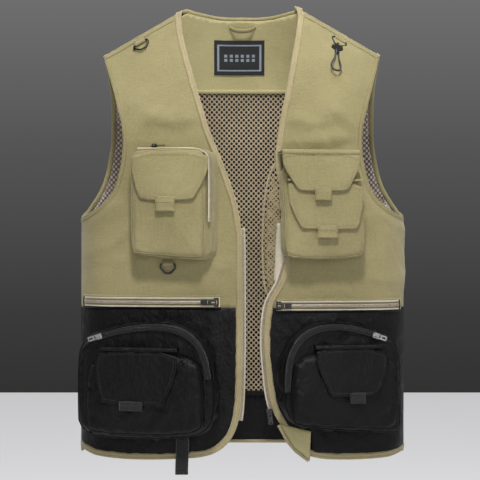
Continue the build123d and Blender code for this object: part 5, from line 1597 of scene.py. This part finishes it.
lo_crown = crown_of(LCF.flat(lc_outer), 0.0028)
ob, loi = pocket("left_chest_outer_pocket_cloth", LCF, lc_outer, 0.0062, KHAKI, lo_crown, FL, back=-0.0015, seed=127, rows=5, bulge=0.0018, round_r=0.0030, wrinkle=0.0012, open_above=(0.08485, -0.24553)[1], replaces=("left_chest_outer_pocket",))
piping("left_chest_outer_seam", LCF, loi, KHAKI, FL, 0.0009, skip_above=(0.08485, -0.24553)[1])
u0, u1 = LCF.flat([(0.05661, -0.19277)])[0][0], LCF.flat([(0.17145, -0.19277)])[0][0]
v_u = (0.08459, -0.19351)[1]
zero = lambda u, v: 0 * np.asarray(u)
top_strip("left_chest_upper_strip", LCF, u0, u1, v_u + 0.001, 0.0128, KHAKI, zero, -0.030, FL, drop=0.0045, seed=1)
u0, u1 = LCF.flat([(0.06559, -0.23529)])[0][0], LCF.flat([(0.17712, -0.23529)])[0][0]
v_l = (0.08477, -0.23602)[1]
top_strip("left_chest_lower_strip", LCF, u0, u1, v_l + 0.0006, 0.0090, KHAKI, zero, -0.001, FL, drop=0.0010, seed=4)
flap("left_chest_lower_flap_cloth", LCF, [(0.06559, -0.23632), (0.06632, -0.25446), (0.06854, -0.27290), (0.08477, -0.30536), (0.08919, -0.30757), (0.16443, -0.30816), (0.17003, -0.30610), (0.17741, -0.27290), (0.17712, -0.23632)], 0.0093, KHAKI, lambda u, v: lo_crown(u, v) * 0.5, "left_chest_lower_flap", ("left_chest_lower_flap",), seed=131, thread=THREAD, tab=[(0.10911, -0.30167), (0.10911, -0.32114), (0.13935, -0.32114), (0.13935, -0.30167)], lift=0.0010)
flap("left_chest_upper_flap_cloth", LCF, [(0.05661, -0.19380), (0.05691, -0.20602), (0.05867, -0.21633), (0.07870, -0.24798), (0.08311, -0.25078), (0.10461, -0.25166), (0.12934, -0.25166), (0.15157, -0.25078), (0.15555, -0.24798), (0.17174, -0.21485), (0.17174, -0.19380)], 0.0130, KHAKI, zero, "left_chest_upper_flap", ("left_chest_upper_flap",), seed=135, thread=THREAD, tab=[(0.10461, -0.24651), (0.10461, -0.26550), (0.12964, -0.26550), (0.12964, -0.24651)], lift=0.0012)

# ---- lower cargo pockets
for tag, x0, y0, ang, body, outline, arch, strip, fl, tab, patch, cut_v, cut_p, seed in (
    ("right", -0.158, -0.108, -12.0, FR,
     [(-0.24803, -0.49012), (-0.23814, -0.47586), (-0.22320, -0.46540), (-0.19483, -0.45637), (-0.16504, -0.44899), (-0.12786, -0.44569), (-0.09817, -0.44920), (-0.07302, -0.46086), (-0.05675, -0.47986), (-0.04792, -0.50341), (-0.04424, -0.53728), (-0.04276, -0.57114), (-0.05086, -0.60353), (-0.08341, -0.61664), (-0.17540, -0.61975), (-0.24729, -0.61412), (-0.24907, -0.56140)],
     [(-0.22468, -0.47119), (-0.19483, -0.46230), (-0.16504, -0.45550), (-0.12786, -0.45234), (-0.10112, -0.45554), (-0.07744, -0.46602), (-0.06264, -0.48280), (-0.05454, -0.50489), (-0.05086, -0.52844)],
     ((-0.20913, -0.48575), (-0.09342, -0.48550)),
     [(-0.21281, -0.48722), (-0.21675, -0.50498), (-0.21803, -0.52128), (-0.20839, -0.56083), (-0.20398, -0.56599), (-0.11835, -0.56828), (-0.11321, -0.56623), (-0.09387, -0.52048), (-0.09328, -0.48672)],
     [(-0.17859, -0.56182), (-0.17859, -0.57592), (-0.14406, -0.57592), (-0.14406, -0.56182)],
     [(-0.21903, -0.49337), (-0.23303, -0.53760), (-0.23082, -0.60101), (-0.22481, -0.60823), (-0.17453, -0.61162), (-0.09181, -0.61001), (-0.06387, -0.60385), (-0.05800, -0.59359), (-0.05800, -0.53641), (-0.06827, -0.49242)],
     (-0.20987, -0.49605)[1], (-0.20987, -0.49458)[1], 201),
    ("left", 0.160, -0.1085, 12.0, FL,
     [(0.06250, -0.55936), (0.06103, -0.51814), (0.06618, -0.48869), (0.07878, -0.46602), (0.09952, -0.45215), (0.12768, -0.44563), (0.15746, -0.44730), (0.18516, -0.45408), (0.20521, -0.46385), (0.22471, -0.47215), (0.23670, -0.48707), (0.23863, -0.54644), (0.23863, -0.60581), (0.23064, -0.61308), (0.15598, -0.60703), (0.08021, -0.59925), (0.06839, -0.57850)],
     [(0.06692, -0.54758), (0.06692, -0.51666), (0.07281, -0.49164), (0.08468, -0.47118), (0.10321, -0.45879), (0.12768, -0.45228), (0.15450, -0.45366), (0.18279, -0.46001), (0.20669, -0.46904)],
     ((0.10446, -0.48192), (0.20994, -0.48208)),
     [(0.10565, -0.48313), (0.10639, -0.50002), (0.10859, -0.51324), (0.12481, -0.55080), (0.12922, -0.55477), (0.19511, -0.55388), (0.20026, -0.55064), (0.21436, -0.51097), (0.21068, -0.48370)],
     [(0.15493, -0.54860), (0.15493, -0.56476), (0.17770, -0.56476), (0.17770, -0.54860)],
     [(0.08134, -0.48957), (0.07180, -0.53651), (0.07180, -0.58786), (0.07844, -0.59533), (0.12848, -0.60002), (0.21742, -0.60469), (0.22639, -0.59967), (0.23008, -0.58935), (0.22934, -0.53771), (0.22196, -0.49050)],
     (0.08459, -0.49311)[1], (0.08459, -0.49164)[1], 231)):
    F = Face(x0, y0, ang)
    cr = crown_of(F.flat(outline), 0.0040, 0.035)
    zero = lambda u, v: 0 * np.asarray(u)
    ob, pi = pocket(tag + "_lower_pocket_cloth", F, outline, -0.0042, BLACK, lambda u, v, c=cr: c(u, v), body, seed=seed, bulge=0.0040, wrinkle=0.0026, round_r=0.006, rows=11, replaces=(tag + "_lower_pocket",), taper=0.006)
    piping(tag + "_lower_pocket_seam", F, pi, BLACK, body, 0.0010)
    z = plane_zip(F, F.flat(arch), -0.0005, 0.0044, tag + "_lower_zip", body, BLACK_TAPE, BLACK_TAPE, (tag + "_lower_zip_tape",))
    pc = crown_of(F.flat(patch), 0.0030, 0.03)
    ob, qi = pocket(tag + "_lower_patch_cloth", F, patch, 0.0078, BLACK, pc, body, back=-0.0045, seed=seed + 5, bulge=0.0020, wrinkle=0.0026, round_r=0.0045, rows=6, open_above=cut_v, replaces=(tag + "_lower_patch_pocket",), sideways=0.001)
    piping(tag + "_lower_patch_seam", F, qi, BLACK, body, 0.0009, skip_above=cut_v)
    su0, su1 = F.flat([strip[0]])[0][0], F.flat([strip[1]])[0][0]
    top_strip(tag + "_lower_strip", F, su0, su1, strip[0][1] + 0.0012, 0.0112, BLACK, zero, -0.004, body, drop=0.0035, seed=seed)
    flap(tag + "_lower_flap_cloth", F, fl, 0.0114, BLACK, lambda u, v, c=pc: c(u, v) * 0.35, tag + "_lower_flap", (tag + "_lower_flap",), seed=seed + 9, thread=THREAD_DARK, tab=tab, tab_mat=WEBBING, lift=0.0020, curl=0.0018)
    # the corded outline of the pocket's front panel, inside the zip
    ln = even(smooth_line(np.array(inset([tuple(p) for p in smooth_line(F.flat(outline), 2, True)], 0.0125)), 0, True), 0.004)
    P3, N3_ = face_line(F, ln, -0.0042, cr, lift=0.0002)
    s_ = stitches(tag + "_lower_pocket_stitches", [(P3, N3_)], THREAD_DARK)
    keep(s_, body)

# ---- hanging strap: doubled webbing with a folded end
sv, sf = [], []
sx0, sx1 = (-0.09982, -0.62155)[0], (-0.08043, -0.62155)[0]
sz0, sz1 = (-0.09027, -0.61022)[1], (-0.09027, -0.67347)[1]
rows_ = 34
for i in range(rows_ + 1):
    f = i / rows_
    z = sz0 + (sz1 - sz0) * f
    yc = -0.0972 + 0.0008 * math.sin(f * 7) - 0.0012 * f
    wv = 0.0006 * math.sin(f * 5)
    for a, b in ((0, 0), (0.12, -0.0011), (0.5, -0.0008), (0.88, -0.0011), (1, 0), (0.88, 0.0011), (0.5, 0.0008), (0.12, 0.0011)):
        thick = 1.35 if f > 0.80 else 1.0
        sv.append((sx0 + (sx1 - sx0) * a + wv, yc + b * thick, z))
for i in range(rows_):
    for j in range(8):
        a, b = i * 8 + j, i * 8 + (j + 1) % 8
        sf.append((a, b, b + 8, a + 8))
sf += [tuple(range(8)), tuple(rows_ * 8 + j for j in range(8))[::-1]]
o = mesh_object("hanging_strap_webbing", sv, sf, WEBBING)
fix_normals(o)
keep(o, "hanging_strap", ("hanging_strap",))
o = stitches("hanging_strap_stitches", [(np.array([(sx0 + 0.002, -0.1000, sz1 + dz), (sx1 - 0.002, -0.1000, sz1 + dz)]), np.array([(0, -1.0, 0)] * 2)) for dz in (0.003, 0.010)], THREAD_DARK)
keep(o, "hanging_strap")


# ------------------------------------------------------------------ the small hard parts
def dress(mat, *names):
    for n in names:
        o = NODES[n]
        o.data.materials.clear()
        o.data.materials.append(mat)


dress(GUNMETAL, *[n for n in NODES if n.endswith("_ring") or n.startswith("front_zip") and not n.endswith("tape")
                  or n.endswith(("_waist_zip_slider", "_waist_zip_puller", "_chest_zip_slider", "_chest_zip_puller"))])
dress(NICKEL, *[n for n in NODES if n.endswith(("_lower_zip_slider", "_lower_zip_puller"))])
dress(PLASTIC, "lanyard_clasp")


def strap_over_bar(name, c, ex, ez, half_w, length, mat, body, low=-0.0034, node=None):
    """A tab of cloth folded round a ring's bar, its two layers sewn down above it."""
    c, ex, ez = (np.array(v, float) for v in (c, ex, ez))
    ey = np.cross(ez, ex)
    if ey[2] < 0:
        ey = -ey
    r = 0.00238
    prof = [(length, low + 0.0016), (length * 0.78, low + 0.0021), (length * 0.52, -0.0001), (length * 0.26, 0.0017)]
    prof += [(-r * math.sin(a), r * math.cos(a)) for a in np.linspace(0, math.pi, 11)]
    prof += [(length * 0.3, -0.00255), (length * 0.7, low + 0.0007), (length, low + 0.0006)]
    pr = np.array(prof)
    t = np.gradient(pr, axis=0)
    t /= np.linalg.norm(t, axis=1, keepdims=True)
    nrm = np.stack([-t[:, 1], t[:, 0]], 1)
    us = [-1, -0.97, -0.9, -0.6, -0.3, 0, 0.3, 0.6, 0.9, 0.97, 1]
    m = len(pr)
    verts, faces = [], []
    for u in us:
        k = 0.40 if abs(u) > 0.99 else (0.8 if abs(u) > 0.95 else 1.0)
        for s_ in (1, -1):
            w = pr + nrm * 0.00056 * k * s_
            for a, b in w:
                b += 0.00012 * math.sin(u * 7 + a * 600)
                verts.append(c + ex * (u * half_w) + ey * a + ez * b)
    for i in range(len(us) - 1):
        o, q_ = i * 2 * m, (i + 1) * 2 * m
        for j in range(m - 1):
            faces.append((o + j, o + j + 1, q_ + j + 1, q_ + j))
            faces.append((o + m + j, q_ + m + j, q_ + m + j + 1, o + m + j + 1))
        faces.append((o, q_, q_ + m, o + m))
        faces.append((o + m - 1, o + 2 * m - 1, q_ + 2 * m - 1, q_ + m - 1))
    for o in (0, (len(us) - 1) * 2 * m):
        for j in range(m - 1):
            faces.append((o + j, o + m + j, o + m + j + 1, o + j + 1))
    ob = mesh_object(name, verts, faces, mat)
    fix_normals(ob)
    keep(ob, body, (node,) if node else ())
    row = []
    for a, b in ((length * 0.62, low + 0.0034), (length * 0.88, low + 0.0027)):
        us_ = np.linspace(-0.86, 0.86, 12)
        row.append((np.array([c + ex * (u * half_w) + ey * a + ez * b for u in us_]), np.array([ez] * 12)))
    st = stitches(name + "_stitches", row, SEAM_THREAD, length=0.0020, gap=0.0010)
    keep(st, body)
    return ob


strap_over_bar("right_shoulder_ring_tab", (-0.15899, -0.01597, -0.01760), (0.865031, 0, 0.501718), (-0.320566, -0.769259, 0.552701), 0.0088, 0.0105, KHAKI, "vest_back", node="shoulder_ring_tabs")
strap_over_bar("left_shoulder_ring_tab", (0.15149, -0.01597, -0.01325), (0.865031, 0, -0.501718), (0.320566, -0.769259, 0.552701), 0.0088, 0.0105, KHAKI, "vest_back", node="shoulder_ring_tabs")
strap_over_bar("chest_ring_tab_strap", (-0.112114, -0.0817137, -0.3599), (0.992546, -0.121869, 0), (-0.121869, -0.992546, 0), 0.0080, 0.0060, KHAKI, "right_front", node="chest_ring_tab")

# the lanyard's cord, folded back on itself
cord_pts = [(0.14344, -0.03655, -0.03704), (0.14233, -0.04085, -0.04239), (0.1399, -0.04553, -0.04749), (0.13652, -0.05044, -0.05236), (0.13501, -0.05518, -0.05809), (0.13847, -0.05809, -0.06414), (0.14504, -0.05708, -0.06655), (0.15001, -0.05307, -0.06385), (0.15021, -0.04858, -0.05772), (0.1485, -0.04461, -0.0512), (0.14758, -0.04016, -0.04447), (0.1476, -0.03554, -0.03805)]
cc = bpy.data.curves.new("lanyard_cord_braid", "CURVE")
cc.dimensions = "3D"
sp = cc.splines.new("NURBS")
sp.points.add(len(cord_pts) - 1)
for p, v in zip(sp.points, cord_pts):
    p.co = (v[0], v[1], v[2], 1)
sp.order_u = 3
sp.use_endpoint_u = True
cc.resolution_u = 8
cc.bevel_depth = 0.0015
cc.bevel_resolution = 3
cc.use_fill_caps = True
cc.materials.append(CORD)
cob = bpy.data.objects.new("lanyard_cord_braid", cc)
bpy.context.scene.collection.objects.link(cob)
keep(cob, "lanyard", ("lanyard_cord",))


# ------------------------------------------------------------------ shoulder seams and rows of stitching
def t_of(p):
    return RIDGE - SLOPE * soft_abs(p[:, 0]) - p[:, 1]


def x_at(line, level):
    p = even(line, 0.001)
    t = t_of(p)
    i = int(np.argmin(np.abs(t - level)))
    return float(p[i, 0])


def blended(ob, body):
    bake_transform(ob)
    keep(ob, None)


BAND = [(-0.0080, -0.0006), (-0.0079, 0.0005), (-0.0060, 0.00095), (0.0006, 0.0011), (0.0016, 0.0008), (0.0019, 0.0001), (0.0018, -0.0006)]
for tag, sgn, edge, arm, body in (("right", -1, r_edge, r_arm, "right_front"), ("left", 1, l_edge, l_arm, "left_front")):
    xa, xb = sorted((x_at(edge, 0.009), x_at(arm, 0.009)))
    xs_ = np.linspace(xa + 0.001, xb - 0.001, 40)
    path = np.stack([xs_, RIDGE - SLOPE * soft_abs(xs_) - 0.0090], 1)
    sb = edge_band(tag + "_shoulder_seam", path, BAND, KHAKI, True, side=-1, wobble=0.6, seed=14 + sgn)
    keep(sb, "vest_back")
    lines = []
    for dz, off in ((-0.0004, 0.0012), (0.0052, 0.0010)):
        lines.append(body_line(path + np.array([0, dz]), True, off))
    st = stitches(tag + "_shoulder_seam_stitches", lines, SEAM_THREAD, length=0.0022, gap=0.0011)
    keep(st, "vest_back")
    # rows beside the front edge and the armhole
    rows_ = []
    for line, d, off in ((edge, 0.0084, 0.0012), (arm, 0.0062, 0.0010), (arm, 0.0020, 0.0010)):
        side = 1
        mid = even(line, 0.004)
        k = len(mid) // 2
        for cand in (1, -1):
            w = shift_line(line, d * cand)[min(k, len(mid) - 1)]
            if inside(np.array([w]), np.array(RIGHT if sgn < 0 else LEFT))[0]:
                side = cand
        p = shift_line(line, d * side)
        p = p[t_of(p) > 0.0105]
        if len(p) > 3:
            rows_.append(body_line(p, True, off))
    st = stitches(tag + "_front_stitches", rows_, SEAM_THREAD, length=0.0024, gap=0.0013)
    blended(st, body)

# stitching along the neck band and the back seam
nk = shift_line(neck, 0.0046)
if nk[len(nk) // 2][1] > even(neck, 0.004)[len(nk) // 2][1]:
    nk = shift_line(neck, -0.0046)
p, n = body_line(nk, False, -0.0047)
q2, n2 = body_line(nk, False, 0.0015)
st = stitches("neck_stitches", [(p, -n), (q2, n2)], SEAM_THREAD, length=0.0022, gap=0.0011)
keep(st, "vest_back")
xs_ = np.linspace(-0.2485, 0.2485, 120)
lines = [body_line(np.stack([xs_, xs_ * 0 + COLOUR_Z + dz], 1), False, 0.0009 + 0.0002) for dz in (0.0022, 0.0085)]
st = stitches("back_seam_stitches", lines, SEAM_THREAD, length=0.0028, gap=0.0014)
keep(st, "vest_back")

# ------------------------------------------------------------------ floor, backdrop, light and camera
def stage_mat(name, stops, axis_scale, rough=0.9):
    m, nt, b = new_mat(name)
    c = nt.nodes.new("ShaderNodeTexCoord").outputs["Object"]
    sep = nt.nodes.new("ShaderNodeSeparateXYZ")
    nt.links.new(c, sep.inputs[0])
    h = math_node(nt, "MULTIPLY", math_node(nt, "ADD", sep.outputs["Z"], axis_scale[0]), axis_scale[1])
    nt.links.new(ramp(nt, h, stops), b.inputs["Base Color"])
    b.inputs["Roughness"].default_value = rough
    b.inputs["Specular IOR Level"].default_value = 0.1
    return m


FLOOR_Z, WALL_Y = -1.043, 4.2
floor = mesh_object("floor", [(-9, -6, FLOOR_Z), (9, -6, FLOOR_Z), (9, WALL_Y, FLOOR_Z), (-9, WALL_Y, FLOOR_Z)], [(0, 1, 2, 3)], None)
fm, fnt, fb = new_mat("floor")
fb.inputs["Base Color"].default_value = (0.45, 0.45, 0.46, 1)
fb.inputs["Emission Color"].default_value = (0.80, 0.80, 0.815, 1)
fb.inputs["Emission Strength"].default_value = 0.62
fb.inputs["Roughness"].default_value = 0.7
floor.data.materials.append(fm)
wall = mesh_object("backdrop", [(-9, WALL_Y, FLOOR_Z), (9, WALL_Y, FLOOR_Z), (9, WALL_Y, 6.0), (-9, WALL_Y, 6.0)], [(0, 1, 2, 3)], None)
wm, wnt, wb_ = new_mat("backdrop")
wc = wnt.nodes.new("ShaderNodeTexCoord").outputs["Object"]
wsep = wnt.nodes.new("ShaderNodeSeparateXYZ")
wnt.links.new(wc, wsep.inputs[0])
# the backdrop glows by itself with painted light: dark near the floor, brighter higher up
wh = math_node(wnt, "MULTIPLY", math_node(wnt, "ADD", wsep.outputs["Z"], -FLOOR_Z), 1 / 3.09)
backdrop_painted_falloff = ramp(wnt, wh, [(0.0, (0.028, 0.028, 0.028)), (0.12, (0.040, 0.040, 0.040)), (0.38, (0.090, 0.090, 0.090)), (0.62, (0.165, 0.165, 0.165)), (1.0, (0.20, 0.20, 0.20))])
wnt.links.new(backdrop_painted_falloff, wb_.inputs["Emission Color"])
wb_.inputs["Emission Strength"].default_value = 0.95
wb_.inputs["Base Color"].default_value = (0.01, 0.01, 0.01, 1)
wb_.inputs["Roughness"].default_value = 1.0
wb_.inputs["Specular IOR Level"].default_value = 0.0
wall.data.materials.append(wm)


def area_light(name, loc, look, size, power, color=(1, 1, 1), size_y=None):
    d = bpy.data.lights.new(name, "AREA")
    d.energy = power
    d.color = color
    d.size = size
    if size_y:
        d.shape = "RECTANGLE"
        d.size_y = size_y
    o = bpy.data.objects.new(name, d)
    o.location = loc
    o.rotation_euler = (Vector(look) - Vector(loc)).to_track_quat("-Z", "Y").to_euler()
    bpy.context.scene.collection.objects.link(o)
    return o


area_light("key", (0.0, -1.25, 1.10), (0, 0, -0.32), 0.24, 27, (1, 0.985, 0.96))
area_light("front", (0.15, -3.4, 0.35), (0, 0, -0.3), 1.2, 17)
area_light("fill", (1.9, -1.6, 0.2), (0, 0, -0.35), 1.4, 9, (0.97, 0.98, 1))
area_light("inside", (0.0, -0.5, 1.5), (0, 0.05, -0.1), 0.7, 16)
area_light("rim", (-1.6, 0.9, 0.5), (0, 0, -0.3), 0.8, 6)
area_light("rim_far", (1.6, 0.9, 0.5), (0, 0, -0.3), 0.8, 6)
world = bpy.data.worlds.new("studio")
world.use_nodes = True
world.node_tree.nodes["Background"].inputs["Color"].default_value = (0.75, 0.77, 0.80, 1)
world.node_tree.nodes["Background"].inputs["Strength"].default_value = 0.19
bpy.context.scene.world = world
bpy.context.scene.view_settings.view_transform = "Standard"

cam_data = bpy.data.cameras.new("camera")
cam_data.lens = 100
cam_data.sensor_width = 36
cam_data.clip_end = 30
cam = bpy.data.objects.new("camera", cam_data)
cam.location = (-0.00375, -2.085, -0.3238)
cam.rotation_euler = (math.pi / 2, 0, 0)
bpy.context.scene.collection.objects.link(cam)
bpy.context.scene.camera = cam

bpy.context.view_layer.update()
